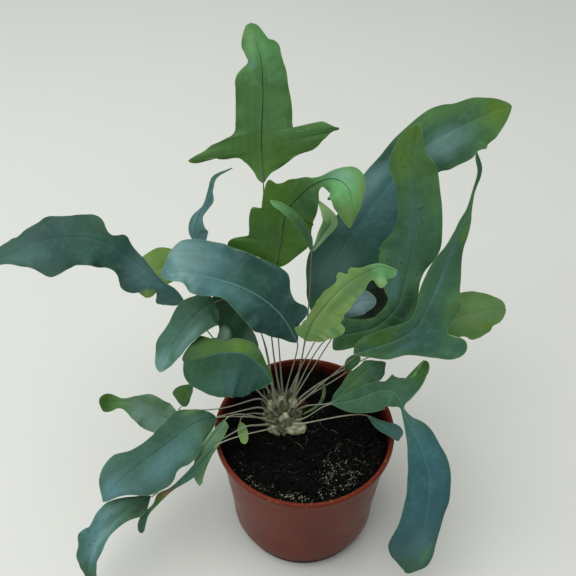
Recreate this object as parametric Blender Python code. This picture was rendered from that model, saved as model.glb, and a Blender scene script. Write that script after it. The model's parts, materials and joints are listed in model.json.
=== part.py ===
"""Potted blue star fern: a creeping rhizome with leathery, lobed fronds, in a 12 cm plastic nursery pot.

Run with blender --background --python part.py, or from the text editor. Millimetres in the tables below,
metres in the scene. +Z is up, the origin is the centre of the pot's foot, and +Y points to the plant's back.
"""
import math

import bmesh
import bpy
from mathutils import Vector

MM = 0.001

# Pot
POT_HEIGHT = 100.0
LIP_RADIUS = 60.0
LIP_HEIGHT = 4.0
LIP_OVERHANG = 2.0
FOOT_RADIUS = 47.0
LEDGE_HEIGHT = 12.0
LEDGE_STEP = 3.0
WALL = 1.5
FLOOR = 2.0
POT_SEGMENTS = 48
DRAIN_HOLES = 8
DRAIN_HOLE_RADIUS = 3.0
DRAIN_CIRCLE_RADIUS = 34.0

# Soil and rhizome
GAP = 0.3
SOIL_LEVEL = 90.0
SOIL_BUMP = 1.2
SOIL_RINGS = 6
RHIZOME_CENTRE = (-14.0, 15.0)
RHIZOME_HALF = (15.0, 20.0)
RHIZOME_HEIGHT = 15.0

# Fronds
STEM_RADIUS = 0.7
STEM_POINTS = 10
STEM_HANDLE = 8.0
STEM_LEAD_IN = 5.0
STEM_RISE = 0.3
STEM_EASE = 0.6
BLADE_THICKNESS = 0.9
MARGIN_THICKNESS = 0.5
NARROWEST_HALF = 0.7
ACROSS = (-1.0, -0.5, 0.0, 0.5, 1.0)

COLOURS = {
    "terracotta_plastic": ((0.24, 0.075, 0.045), 0.32),
    "potting_soil": ((0.012, 0.009, 0.008), 0.95),
    "rhizome_fur": ((0.20, 0.19, 0.12), 0.9),
    "stem": ((0.13, 0.13, 0.085), 0.6),
    "blue_frond": ((0.050, 0.135, 0.130), 0.42),
    "green_frond": ((0.055, 0.130, 0.035), 0.42),
    "lime_frond": ((0.150, 0.300, 0.065), 0.42),
}

# Each frond: where its stem leaves the rhizome (from the rhizome's centre), any places the stem is led
# through, the midrib from the blade's base to its tip, the way its upper face looks at base and tip, how far
# the halves fold up about the midrib, how far the cross-lines lean to the tip, and the half-widths left and
# right of the midrib as (percent of its length, width).
FRONDS = {
    "crown": dict(
        colour="green_frond", root=(-3, 13), fold=8, lean=(-0.25, 0.2),
        face=(0.15, -0.85, 0.5), tip_face=(0.1, -0.85, 0.5),
        rib=((-26, 72, 245), (-27, 82, 255), (-27, 92, 270), (-26, 102, 287), (-27, 110, 306),
             (-33, 118, 324)),
        left=((0, 1), (14, 7), (21, 13), (26, 42), (36, 16), (73, 16), (84, 8), (91, 9), (96, 7), (100, 1)),
        right=((0, 1), (5, 5), (13, 22), (15, 33), (26, 46), (29, 43), (31, 20), (71, 14), (94, 5),
               (100, 1))),
    "folded": dict(
        colour="green_frond", root=(-1, 7), fold=6, lean=(-0.1, 0),
        face=(-0.15, -0.8, 0.6), tip_face=(0.25, -0.8, 0.5),
        rib=((-19, 48, 199), (-15, 54, 217), (-12, 60, 232), (-5, 63, 241), (4, 62, 251), (14, 55, 260),
             (22, 46, 261), (25, 38, 254), (24, 34, 241)),
        left=((0, 1), (4, 8), (6, 27), (11, 31), (16, 20), (30, 20), (38, 20), (41, 14), (56, 4), (68, 4),
              (76, 11), (88, 5), (100, 1)),
        right=((0, 1), (14, 15), (26, 18), (39, 17), (48, 12), (56, 4), (64, 13), (85, 12), (91, 9),
               (100, 1))),
    "young_long": dict(
        colour="lime_frond", root=(5, 10), fold=0, lean=(0, 0), face=(0, -0.8, 0.6),
        tip_face=(0, -0.8, 0.6),
        rib=((3, 40, 218), (2, 38, 230), (-4, 36, 244), (-12, 36, 253), (-21, 38, 257)),
        left=((0, 1), (20, 3), (58, 4), (83, 3), (100, 1)),
        right=((0, 1), (100, 1))),
    "young_short": dict(
        colour="lime_frond", root=None, fold=0, lean=(0, 0), face=(0.1, -0.8, 0.5),
        tip_face=(0.1, -0.8, 0.5),
        rib=((4.1, 41, 217.6), (10, 49, 223), (15, 54, 229), (12, 57, 235), (7, 60, 241)),
        left=((0, 1), (61, 6), (78, 3), (100, 1)),
        right=((0, 1), (32, 2.5), (63, 4), (100, 1))),
    "twisted": dict(
        colour="blue_frond", root=(-8, 9), fold=0, lean=(0, 0), face=(-0.3, -0.8, 0.4),
        tip_face=(0.3, -0.8, 0.4),
        rib=((-66, 60, 207), (-68, 62, 217), (-65, 64, 227), (-60, 66, 237), (-57, 68, 244), (-54, 70, 251),
             (-44, 72, 256)),
        left=((0, 3), (15, 5), (29, 5), (45, 1), (75, 2), (100, 0.7)),
        right=((0, 3), (18, 8), (32, 2), (56, 4), (65, 1), (100, 0.7))),
    "far_left": dict(
        colour="blue_frond", root=(-10, 4), fold=6, lean=(0, 0),
        face=(-0.1, -0.45, 0.88), tip_face=(-0.2, -0.5, 0.85),
        rib=((-78, 44, 172), (-87, 50, 176), (-100, 56, 186), (-114, 62, 194), (-130, 64, 206),
             (-148, 62, 211), (-165, 56, 212), (-179, 50, 209), (-196, 43, 204)),
        left=((0, 3), (10, 11), (15, 5), (24, 17), (29, 17), (34, 12), (38, 11), (56, 18), (75, 28),
              (81, 24), (89, 12), (96, 7), (100, 1)),
        right=((0, 1), (14, 2.5), (26, 4.5), (40, 11), (46, 7), (52, 17), (64, 14), (70, 16), (94, 7),
               (100, 1))),
    "lime_left": dict(
        colour="lime_frond", root=(-6, 13), fold=5, lean=(0, 0),
        face=(0, -0.5, 0.87), tip_face=(-0.4, -0.5, 0.7),
        rib=((-82, 86, 161), (-95, 88, 163), (-107, 90, 157), (-114, 88, 148), (-113, 84, 138)),
        left=((0, 2), (16, 10), (43, 17), (75, 14), (94, 10), (100, 3)),
        right=((0, 2), (25, 14), (56, 15), (82, 7), (100, 1))),
    "broad_left": dict(
        colour="blue_frond", root=(0, 1), fold=8, lean=(0, 0),
        face=(-0.1, -0.62, 0.78), tip_face=(-0.1, -0.55, 0.83),
        rib=((-5, 24, 156), (-14, 27, 175), (-25, 30, 187), (-40, 32, 197), (-57, 32, 204), (-71, 30, 210),
             (-85, 26, 212)),
        left=((0, 2), (15, 14), (31, 19), (59, 12), (81, 12), (99, 3), (100, 1)),
        right=((0, 1), (10, 6), (16, 16), (25, 13), (35, 21), (59, 19), (75, 22), (89, 18), (94, 12),
               (100, 1))),
    "tall_right": dict(
        colour="blue_frond", root=(4, 14), fold=8, lean=(0, 0),
        face=(0.25, -0.85, 0.5), tip_face=(0.1, -0.75, 0.6),
        rib=((12, 48, 146), (12, 54, 164), (18, 60, 186), (28, 66, 207), (41, 73, 227), (56, 80, 246),
             (73, 86, 263), (93, 90, 274), (109, 93, 281), (121, 95, 284)),
        left=((0, 1), (10, 8), (18, 16), (25, 20), (35, 16), (43, 15), (59, 15), (76, 17), (90, 12),
              (96, 6), (100, 1)),
        right=((0, 1), (1, 8), (5, 34), (9, 43), (13, 47), (19, 45), (24, 41), (29, 34), (35, 26), (45, 22),
               (54, 21), (69, 17), (80, 21), (85, 18), (88, 19), (98, 8), (100, 1))),
    "middle_right": dict(
        colour="blue_frond", root=(5, 4), fold=8, lean=(0, 0),
        face=(-0.2, -0.8, 0.6), tip_face=(-0.25, -0.85, 0.5),
        rib=((18, 22, 164), (30, 25, 163), (45, 28, 166), (57, 32, 179), (61, 37, 194), (64, 43, 210),
             (66, 48, 230), (65, 53, 250), (60, 58, 271), (61, 62, 291)),
        left=((0, 2), (4, 11), (15, 7), (28, 6), (42, 17), (50, 20), (58, 14), (64, 12), (80, 11), (86, 14),
              (100, 1)),
        right=((0, 2), (4, 8), (15, 8), (24, 13), (44, 8), (54, 16), (89, 10), (100, 1))),
    "lime_front": dict(
        colour="lime_frond", root=(3, -6), fold=8, lean=(0, 0),
        face=(-0.3, -0.75, 0.6), tip_face=(-0.1, -0.7, 0.7),
        rib=((-1, -2, 186), (3, -6, 205), (10, -9, 222), (18, -11, 236), (27, -12, 246), (36, -13, 252),
             (44, -14, 250)),
        left=((0, 5), (4, 8), (26, 4), (60, 4), (66, 6), (78, 5), (90, 2), (100, 1)),
        right=((0, 2), (11, 10), (20, 13), (39, 16), (43, 13), (85, 6), (89, 10), (94, 9), (100, 1))),
    "outer_right": dict(
        colour="blue_frond", root=(9, 1), fold=8, lean=(0.2, 0.35),
        face=(0.1, -0.65, 0.75), tip_face=(0.2, -0.85, 0.5),
        rib=((38, 10, 164), (53, 12, 169), (67, 16, 177), (75, 22, 194), (81, 30, 211), (86, 37, 228),
             (92, 43, 244), (95, 48, 256), (97, 50, 269), (93, 52, 280)),
        left=((0, 1), (3, 5), (31, 6), (43, 10), (50, 9), (61, 4), (74, 1.5), (95, 1.5), (100, 0.7)),
        right=((0, 1), (6, 9), (10, 10), (15, 15), (20, 31), (22, 31), (24, 16), (32, 18), (51, 10),
               (78, 2), (100, 0.7))),
    "lime_right": dict(
        colour="lime_frond", root=(10, 8), fold=6, lean=(0, 0),
        face=(0, -0.55, 0.85), tip_face=(0.1, -0.5, 0.87),
        rib=((83, 40, 150), (94, 42, 156), (106, 44, 160), (118, 45, 163), (130, 44, 167)),
        left=((0, 1), (9, 3), (28, 15), (65, 14), (81, 11), (96, 4), (100, 1)),
        right=((0, 3), (12, 7), (49, 16), (78, 13), (95, 7), (100, 1))),
    "inner_right": dict(
        colour="blue_frond", root=(7, 8), fold=0, lean=(0, 0), face=(-0.1, -0.8, 0.6),
        tip_face=(0, -0.7, 0.7),
        rib=((21, 34, 157), (27, 36, 171), (35, 38, 178), (45, 40, 178)),
        left=((0, 1), (41, 4), (73, 8), (100, 1)),
        right=((0, 1), (31, 2), (54, 7), (91, 5), (100, 1))),
    "low_right": dict(
        colour="blue_frond", root=(12, 1), fold=8, lean=(0, 0), face=(-0.2, -0.6, 0.8),
        tip_face=(0, -0.5, 0.87),
        rib=((18, 6, 118), (25, 8, 126), (34, 11, 136), (42, 14, 142), (52, 17, 144)),
        left=((0, 1), (51, 6), (76, 5), (100, 1)),
        right=((0, 1), (75, 9), (94, 8), (100, 1))),
    "hanging_right": dict(
        colour="blue_frond", root=(10, -9), fold=8, lean=(0.3, 0),
        face=(-0.1, -0.6, 0.8), tip_face=(0.35, -0.8, 0.5),
        rib=((17, -6, 131), (27, -4, 131), (37, -2, 133), (47, -1, 138), (55, -4, 140), (60, -10, 136),
             (62, -18, 132), (70, -32, 123), (76, -46, 107), (75, -58, 87), (72, -66, 64), (64, -72, 44)),
        left=((0, 1), (9, 4), (20, 4), (23, 10), (25, 20), (30, 2), (39, 8), (44, 10), (61, 13), (75, 11),
              (94, 11), (98, 8), (100, 2)),
        right=((0, 1), (5, 7), (16, 12), (26, 16), (31, 2), (35, 2), (54, 14), (69, 16), (81, 19), (91, 18),
               (100, 1))),
    "small_right": dict(
        colour="blue_frond", root=(7, -13), fold=0, lean=(0, 0), face=(0.2, -0.6, 0.8),
        tip_face=(0.3, -0.6, 0.7),
        rib=((41, -6, 118), (47, -8, 114), (54, -10, 110), (62, -12, 103)),
        left=((0, 1), (51, 3.5), (75, 6), (100, 1)),
        right=((0, 1), (42, 4), (76, 3), (100, 1))),
    "mid_left": dict(
        colour="blue_frond", root=(-5, 3), via=((-26, 37, 138), (-39, 52, 163)), fold=8, lean=(0, 0),
        face=(-0.3, -0.7, 0.65), tip_face=(-0.4, -0.65, 0.65),
        rib=((-57, 33, 182), (-63, 30, 181), (-71, 24, 176), (-79, 17, 168), (-86, 10, 159), (-91, 4, 150)),
        left=((0, 5), (9, 14), (36, 11.5), (75, 8), (86, 6), (100, 1)),
        right=((0, 4), (8, 8), (26, 12.5), (70, 10), (86, 7.5), (96, 4), (100, 1))),
    "shaded_left": dict(
        colour="green_frond", root=(-4, -2), via=((-28, 38, 146),), fold=0, lean=(0, 0),
        face=(0.2, -0.75, 0.6), tip_face=(0.2, -0.8, 0.5),
        rib=((-42, 42, 171), (-46, 39, 165), (-50, 35, 158), (-55, 30, 150)),
        left=((0, 1), (15, 2), (46, 12), (70, 16), (88, 16), (100, 11)),
        right=((0, 1), (8, 10), (14, 19), (36, 15), (76, 4), (100, 1))),
    "cupped_left": dict(
        colour="blue_frond", root=(-6, -7), fold=-20, lean=(0, 0),
        face=(-0.1, -0.7, 0.7), tip_face=(-0.1, -0.7, 0.7),
        rib=((-21, 4, 141), (-27, 6, 152), (-37, 8, 162), (-50, 8, 164), (-63, 6, 162), (-75, 3, 161)),
        left=((0, 3), (10, 24), (19, 34), (29, 38), (46, 31), (75, 29), (91, 21), (100, 10)),
        right=((0, 1), (15, 4), (36, 8), (79, 13), (92, 9), (100, 4))),
    "low_left": dict(
        colour="blue_frond", root=(-12, -2), via=((-56, 6, 102.5),), fold=6, lean=(0, 0),
        face=(0, -0.5, 0.87), tip_face=(-0.1, -0.5, 0.85),
        rib=((-80, 2, 101), (-94, 5, 102), (-106, 8, 110), (-117, 9, 114), (-128, 8, 114), (-135, 6, 118)),
        left=((0, 2), (6, 9), (24, 10), (41, 12), (59, 10), (74, 5), (93, 6), (100, 1)),
        right=((0, 1), (15, 7), (34, 9), (54, 8), (74, 2), (93, 5.5), (100, 2))),
    "small_left": dict(
        colour="green_frond", root=(-12, 4), via=((-56, 12, 103),), fold=0, lean=(0, 0),
        face=(-0.2, -0.6, 0.75), tip_face=(-0.2, -0.6, 0.75),
        rib=((-83, 14, 103), (-80, 15, 112), (-75, 17, 122)),
        left=((0, 1), (20, 9), (61, 7), (100, 1)),
        right=((0, 1), (22, 4.5), (58, 5), (82, 4), (100, 1))),
    "broad_low_left": dict(
        colour="blue_frond", root=(-12, -7), fold=8, lean=(0, 0),
        face=(-0.1, -0.5, 0.85), tip_face=(-0.25, -0.5, 0.83),
        rib=((-58, -4, 114), (-71, -8, 113), (-84, -13, 104), (-98, -20, 96), (-111, -28, 90),
             (-122, -37, 86), (-129, -46, 82)),
        left=((0, 4), (11, 12), (32, 20), (44, 18), (53, 23), (59, 23), (70, 21), (100, 1)),
        right=((0, 2), (24, 13), (55, 11), (64, 12), (74, 16), (86, 13), (100, 1))),
    "drooping_left": dict(
        colour="lime_frond", root=(-8, -11), fold=5, lean=(0, 0),
        face=(0.1, -0.8, 0.6), tip_face=(0, -0.9, 0.45),
        rib=((-51, -14, 124), (-59, -18, 113), (-66, -22, 102), (-69, -27, 89), (-69, -32, 78)),
        left=((0, 3), (9, 5), (50, 7), (100, 1)),
        right=((0, 1.5), (48, 2), (71, 4), (100, 1))),
    "bottom_left": dict(
        colour="blue_frond", root=(-11, -11), via=((-40, -5, 105), (-56, -14, 102.5), (-72, -19, 96)),
        fold=6, lean=(0, 0),
        face=(-0.2, -0.6, 0.8), tip_face=(-0.4, -0.75, 0.5),
        rib=((-101, -38, 75), (-112, -44, 73), (-121, -51, 69), (-130, -58, 63), (-137, -65, 53),
             (-142, -71, 37), (-143, -76, 13)),
        left=((0, 1), (9, 7), (25, 5), (50, 6), (61, 5), (75, 7), (86, 6), (100, 1)),
        right=((0, 1), (21, 12), (31, 13), (40, 11), (49, 13), (100, 1))),
    "thin_left": dict(
        colour="blue_frond", root=(-6, -15), fold=0, lean=(0, 0), face=(0, -0.7, 0.7),
        tip_face=(0, -0.8, 0.6),
        rib=((-58, -24, 109), (-68, -29, 96), (-76, -33, 89), (-86, -37, 82), (-96, -42, 74),
             (-103, -46, 68), (-106, -49, 62), (-108, -52, 53)),
        left=((0, 1), (29, 2.5), (51, 1), (98, 2), (100, 1)),
        right=((0, 2), (18, 3.5), (52, 2), (61, 4), (71, 1), (84, 4), (100, 1))),
    "seedling": dict(
        colour="lime_frond", root=(-14, -2), fold=0, lean=(0, 0), face=(0, -0.6, 0.8),
        tip_face=(0, -0.6, 0.8),
        rib=((-43, 2, 101), (-42, -6, 101), (-39, -14, 99)),
        left=((0, 1), (18, 3.5), (64, 4), (100, 1)),
        right=((0, 1), (31, 2), (94, 2), (100, 1))),
    "small_back": dict(
        colour="green_frond", root=(11, 6), fold=0, lean=(0, 0), face=(-0.2, -0.7, 0.7),
        tip_face=(-0.2, -0.7, 0.7),
        rib=((27, 20, 131), (31, 21, 139), (36, 22, 144)),
        left=((0, 1), (36, 4), (78, 4), (100, 1)),
        right=((0, 1), (50, 3), (74, 3), (100, 1))),
}

# The curled young frond beside the rhizome, from its foot to the end of its curl, with its half-thickness.
CROZIER = (
    (-0.2, 11, 98, 0.7), (3, 11, 101, 0.8), (7, 11.5, 104, 0.9), (11, 13, 108, 1.1), (13, 15, 114, 1.3),
    (13, 17, 119, 1.4), (11, 18, 122, 1.5), (8, 18, 121, 1.5), (7, 18, 118, 1.2))


def clear_scene():
    for obj in list(bpy.data.objects):
        bpy.data.objects.remove(obj)


def material(name):
    colour, roughness = COLOURS[name]
    found = bpy.data.materials.get(name)
    if found:
        return found
    made = bpy.data.materials.new(name)
    made.use_nodes = True
    shader = made.node_tree.nodes["Principled BSDF"]
    shader.inputs["Base Color"].default_value = (*colour, 1.0)
    shader.inputs["Roughness"].default_value = roughness
    shader.inputs["Metallic"].default_value = 0.0
    return made


def add_object(name, data, colour, parent=None):
    obj = bpy.data.objects.new(name, data)
    bpy.context.scene.collection.objects.link(obj)
    obj.parent = parent
    data.materials.append(material(colour))
    return obj


def smooth(mesh, angle=40.0):
    mesh.shade_smooth()
    mesh.set_sharp_from_angle(angle=math.radians(angle))


def smoothstep(low, high, value):
    share = min(1.0, max(0.0, (value - low) / (high - low)))
    return share * share * (3.0 - 2.0 * share)


def ring(bm, radius, height, segments):
    """One loop of vertices; height is a number, or a function of x and y."""
    loop = []
    for i in range(segments):
        turn = math.tau * i / segments
        x, y = radius * math.cos(turn), radius * math.sin(turn)
        z = height(x, y) if callable(height) else height
        loop.append(bm.verts.new((x * MM, y * MM, z * MM)))
    return loop


def bridge(bm, lower, upper):
    """Quads between two loops of the same length."""
    count = len(lower)
    for i in range(count):
        j = (i + 1) % count
        bm.faces.new((lower[i], lower[j], upper[j], upper[i]))


def cap(bm, loop, height):
    """A fan that closes a loop at the axis."""
    z = height(0.0, 0.0) if callable(height) else height
    centre = bm.verts.new((0.0, 0.0, z * MM))
    for i, vert in enumerate(loop):
        bm.faces.new((centre, vert, loop[(i + 1) % len(loop)]))


def finish(bm, name):
    bmesh.ops.recalc_face_normals(bm, faces=bm.faces)
    mesh = bpy.data.meshes.new(name)
    bm.to_mesh(mesh)
    bm.free()
    smooth(mesh)
    return mesh


# Pot ---------------------------------------------------------------------------------------------

def wall_radius(z):
    """The outer radius of the pot's wall, under its lip."""
    slope = (LIP_RADIUS - LIP_OVERHANG - FOOT_RADIUS - LEDGE_STEP) / (POT_HEIGHT - LEDGE_HEIGHT)
    if z < LEDGE_HEIGHT:
        return FOOT_RADIUS + slope * z
    return FOOT_RADIUS + LEDGE_STEP + slope * (z - LEDGE_HEIGHT)


def pot_profile():
    """(radius, height) from the foot's edge up the outside, over the lip and down the inside to the floor."""
    lip_base = POT_HEIGHT - LIP_HEIGHT
    return (
        (FOOT_RADIUS - 1.0, 0.0), (FOOT_RADIUS, 1.0),
        (wall_radius(LEDGE_HEIGHT - 0.01), LEDGE_HEIGHT - 0.8),
        (wall_radius(LEDGE_HEIGHT), LEDGE_HEIGHT + 0.6),
        (wall_radius(lip_base), lip_base),
        (LIP_RADIUS - 0.4, lip_base + 0.4), (LIP_RADIUS, lip_base + 1.6),
        (LIP_RADIUS - 0.2, POT_HEIGHT - 0.7), (LIP_RADIUS - 1.0, POT_HEIGHT),
        (LIP_RADIUS - 2.4, POT_HEIGHT), (LIP_RADIUS - 3.2, POT_HEIGHT - 0.8),
        (wall_radius(lip_base) - WALL, lip_base),
        (wall_radius(LEDGE_HEIGHT) - WALL, LEDGE_HEIGHT + 2.2),
        (wall_radius(LEDGE_HEIGHT - 0.01) - WALL, LEDGE_HEIGHT + 0.6),
        (FOOT_RADIUS - WALL, FLOOR),
    )


def drain_hole_cutter(index):
    turn = math.tau * (index + 0.5) / DRAIN_HOLES
    bm = bmesh.new()
    bmesh.ops.create_cone(
        bm, cap_ends=True, segments=10, depth=3 * FLOOR * MM,
        radius1=DRAIN_HOLE_RADIUS * MM, radius2=DRAIN_HOLE_RADIUS * MM)
    name = f"drain_hole_cutter_{index + 1}"
    cutter = add_object(name, finish(bm, name), "terracotta_plastic")
    cutter.location = (
        DRAIN_CIRCLE_RADIUS * math.cos(turn) * MM, DRAIN_CIRCLE_RADIUS * math.sin(turn) * MM, FLOOR / 2 * MM)
    cutter.hide_render = True
    cutter.display_type = "WIRE"
    return cutter


def make_pot():
    bm = bmesh.new()
    loops = [ring(bm, radius, height, POT_SEGMENTS) for radius, height in pot_profile()]
    for lower, upper in zip(loops, loops[1:]):
        bridge(bm, lower, upper)
    cap(bm, loops[0], 0.0)
    cap(bm, loops[-1], FLOOR)
    pot = add_object("pot", finish(bm, "pot"), "terracotta_plastic")
    for index in range(DRAIN_HOLES):
        cut = pot.modifiers.new(f"drain_hole_{index + 1}", "BOOLEAN")
        cut.operation = "DIFFERENCE"
        cut.object = drain_hole_cutter(index)
    return pot


# Soil and rhizome --------------------------------------------------------------------------------

def rhizome_distance(x, y):
    """1 on the rhizome's outline on the soil, less inside it."""
    return math.hypot((x - RHIZOME_CENTRE[0]) / RHIZOME_HALF[0], (y - RHIZOME_CENTRE[1]) / RHIZOME_HALF[1])


def soil_height(x, y):
    """A crumbly surface that lies flat under the rhizome and along the pot's wall."""
    lumps = math.sin(0.31 * x + 1.0) * math.cos(0.27 * y) + 0.5 * math.sin(0.55 * x - 0.48 * y)
    edge = 1.0 - smoothstep(44.0, 52.0, math.hypot(x, y))
    return SOIL_LEVEL + SOIL_BUMP * lumps * edge * smoothstep(1.2, 1.9, rhizome_distance(x, y))


def make_soil(pot):
    bottom = FLOOR + GAP
    reach = wall_radius(SOIL_LEVEL) - WALL - GAP
    bm = bmesh.new()
    side = [
        ring(bm, FOOT_RADIUS - WALL - GAP, bottom, POT_SEGMENTS),
        ring(bm, wall_radius(0.0) - WALL - GAP, LEDGE_HEIGHT, POT_SEGMENTS),
        ring(bm, wall_radius(LEDGE_HEIGHT) - WALL - GAP, LEDGE_HEIGHT + 3.0, POT_SEGMENTS),
    ]
    tops = [
        ring(bm, reach * (SOIL_RINGS - i) / SOIL_RINGS, soil_height, POT_SEGMENTS) for i in range(SOIL_RINGS)]
    loops = side + tops
    for lower, upper in zip(loops, loops[1:]):
        bridge(bm, lower, upper)
    cap(bm, loops[0], bottom)
    cap(bm, loops[-1], soil_height)
    return add_object("soil", finish(bm, "soil"), "potting_soil", pot)


def rhizome_point(turn, climb):
    """A point of the lumpy dome: turn goes round it, and climb from 0 at the soil to 1 at the top."""
    spread = math.cos(climb * math.pi / 2)
    lump = 1.0 + 0.06 * math.sin(3 * turn + 1.0) + 0.03 * math.sin(7 * turn + 6 * climb)
    x = RHIZOME_CENTRE[0] + RHIZOME_HALF[0] * spread * lump * math.cos(turn)
    y = RHIZOME_CENTRE[1] + RHIZOME_HALF[1] * spread * lump * math.sin(turn)
    z = SOIL_LEVEL + GAP + RHIZOME_HEIGHT * math.sin(climb * math.pi / 2)
    return Vector((x, y, z))


def rhizome_top(dx, dy):
    """The point of the dome over an offset from its centre, and the way the dome faces there."""
    u, v = dx / RHIZOME_HALF[0], dy / RHIZOME_HALF[1]
    w = math.sqrt(max(0.05, 1.0 - u * u - v * v))
    normal = Vector((u / RHIZOME_HALF[0], v / RHIZOME_HALF[1], w / RHIZOME_HEIGHT)).normalized()
    return rhizome_point(math.atan2(v, u), math.asin(w) * 2 / math.pi), normal


def make_rhizome(soil):
    segments, levels = 24, 6
    bm = bmesh.new()
    loops = []
    for level in range(levels):
        climb = level / levels
        loops.append([
            bm.verts.new(rhizome_point(math.tau * i / segments, climb) * MM) for i in range(segments)])
    for lower, upper in zip(loops, loops[1:]):
        bridge(bm, lower, upper)
    top = bm.verts.new(rhizome_point(0.0, 1.0) * MM)
    under = bm.verts.new(Vector((*RHIZOME_CENTRE, SOIL_LEVEL + GAP)) * MM)
    for i in range(segments):
        j = (i + 1) % segments
        bm.faces.new((loops[-1][i], loops[-1][j], top))
        bm.faces.new((loops[0][j], loops[0][i], under))
    return add_object("rhizome", finish(bm, "rhizome"), "rhizome_fur", soil)


# Fronds ------------------------------------------------------------------------------------------

def spline_point(points, share):
    """A point of the smooth curve through the points, share 0 to 1 of the way along its chords."""
    lengths = [0.0]
    for a, b in zip(points, points[1:]):
        lengths.append(lengths[-1] + (b - a).length)
    along = share * lengths[-1]
    i = 0
    while i < len(points) - 2 and along > lengths[i + 1]:
        i += 1
    t = (along - lengths[i]) / (lengths[i + 1] - lengths[i])
    b, c = points[i], points[i + 1]
    a = points[i - 1] if i else 2 * b - c
    d = points[i + 2] if i + 2 < len(points) else 2 * c - b
    return 0.5 * (2 * b + (c - a) * t + (2 * a - 5 * b + 4 * c - d) * t * t + (3 * b - a - 3 * c + d) * t ** 3)


def rib_frame(frond, share):
    """The midrib's point there, its direction, the way to the blade's right and the way its face looks."""
    points = [Vector(p) for p in frond["rib"]]
    ahead = spline_point(points, min(1.0, share + 0.005))
    behind = spline_point(points, max(0.0, share - 0.005))
    along = (ahead - behind).normalized()
    face = Vector(frond["face"]).lerp(Vector(frond["tip_face"]), share)
    right = along.cross(face).normalized()
    return spline_point(points, share), along, right, right.cross(along)


def half_width(outline, percent):
    """The width between the two nearest points of an outline."""
    for (a, width_a), (b, width_b) in zip(outline, outline[1:]):
        if percent <= b:
            return max(NARROWEST_HALF, width_a + (width_b - width_a) * (percent - a) / (b - a))
    return NARROWEST_HALF


def blade_row(frond, percent):
    """The row of (upper, lower) points across the blade at a percentage of its length."""
    centre, along, right, up = rib_frame(frond, percent / 100)
    fold = math.radians(frond["fold"])
    row = []
    for place in ACROSS:
        side = 0 if place < 0 else 1
        half = half_width(frond[("left", "right")[side]], percent)
        out = abs(place) * half
        point = centre + right * math.copysign(out * math.cos(fold), place)
        point += up * (out * math.sin(fold)) + along * (out * frond["lean"][side])
        thick = BLADE_THICKNESS + (MARGIN_THICKNESS - BLADE_THICKNESS) * abs(place)
        row.append((point + up * (thick / 2), point - up * (thick / 2)))
    return row


def make_blade(name, frond):
    bm = bmesh.new()
    rows = []
    for percent in sorted({place for side in ("left", "right") for place, _ in frond[side]}):
        row = blade_row(frond, percent)
        rows.append([
            [bm.verts.new(upper * MM) for upper, _ in row], [bm.verts.new(lower * MM) for _, lower in row]])
    last = len(ACROSS) - 1
    for (upper_a, lower_a), (upper_b, lower_b) in zip(rows, rows[1:]):
        for i in range(last):
            bm.faces.new((upper_a[i], upper_a[i + 1], upper_b[i + 1], upper_b[i]))
            bm.faces.new((lower_a[i + 1], lower_a[i], lower_b[i], lower_b[i + 1]))
        bm.faces.new((lower_a[0], upper_a[0], upper_b[0], lower_b[0]))
        bm.faces.new((upper_a[last], lower_a[last], lower_b[last], upper_b[last]))
    for upper, lower in (rows[0], rows[-1]):
        for i in range(last):
            bm.faces.new((upper[i], lower[i], lower[i + 1], upper[i + 1]))
    return add_object(f"{name}_blade", finish(bm, name), frond["colour"])


def tube(name, path, radii, colour):
    """A round stem with closed ends along a path in millimetres."""
    curve = bpy.data.curves.new(name, "CURVE")
    curve.dimensions = "3D"
    curve.bevel_depth = MM
    curve.bevel_resolution = 1
    curve.use_fill_caps = True
    spline = curve.splines.new("POLY")
    spline.points.add(len(path) - 1)
    for point, place, radius in zip(spline.points, path, radii):
        point.co = (*(place * MM), 1.0)
        point.radius = radius
    return add_object(name, curve, colour)


def bezier(ends, handles, t):
    """A point of the cubic curve from one end to the other."""
    return (ends[0] * (1 - t) ** 3 + handles[0] * (3 * t * (1 - t) ** 2)
            + handles[1] * (3 * t * t * (1 - t)) + ends[1] * t ** 3)


def stem_path(frond):
    """From just above the rhizome, straight out of it, round to the blade's base in line with the midrib."""
    foot, out = rhizome_top(*frond["root"])
    foot += out * (1.5 * GAP)
    base, along, _, _ = rib_frame(frond, 0.0)
    end = base - along * (1.5 * GAP)
    steps = range(STEM_POINTS)
    if "via" in frond:
        led = [Vector(place) for place in frond["via"]]
        places = [foot, foot + out * STEM_HANDLE, *led, end - along * STEM_LEAD_IN, end]
        return [spline_point(places, i / (STEM_POINTS - 1)) for i in steps]
    way = end - foot
    turn_back = 1.0 - along.dot(way.normalized())
    leaving = foot + out * (STEM_RISE * way.length)
    arriving = end - along * (STEM_HANDLE * (STEM_EASE + turn_back))
    handles = (leaving, arriving)
    return [bezier((foot, end), handles, i / (STEM_POINTS - 1)) for i in steps]


def make_fronds():
    for name, frond in FRONDS.items():
        make_blade(name, frond)
        if frond["root"]:
            tube(f"{name}_stem", stem_path(frond), [STEM_RADIUS] * STEM_POINTS, "stem")


def main():
    clear_scene()
    pot = make_pot()
    soil = make_soil(pot)
    make_rhizome(soil)
    make_fronds()
    tube("crozier", [Vector(p[:3]) for p in CROZIER], [p[3] for p in CROZIER], "lime_frond")


main()
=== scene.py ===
"""Potted blue star fern: leathery, lobed fronds on wiry stalks, rising from a furry rhizome in a nursery pot.

The file is laid out as an add-on and run as a script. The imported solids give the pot, the soil and the
rhizome their places. The tables of the fronds' midribs and outlines are in millimetres, and the scene is in
metres. +Z is up and +Y points to the plant's back.
"""
import json
import math
import random

import bpy
import numpy as np
from mathutils import Matrix, Vector, noise


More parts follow.
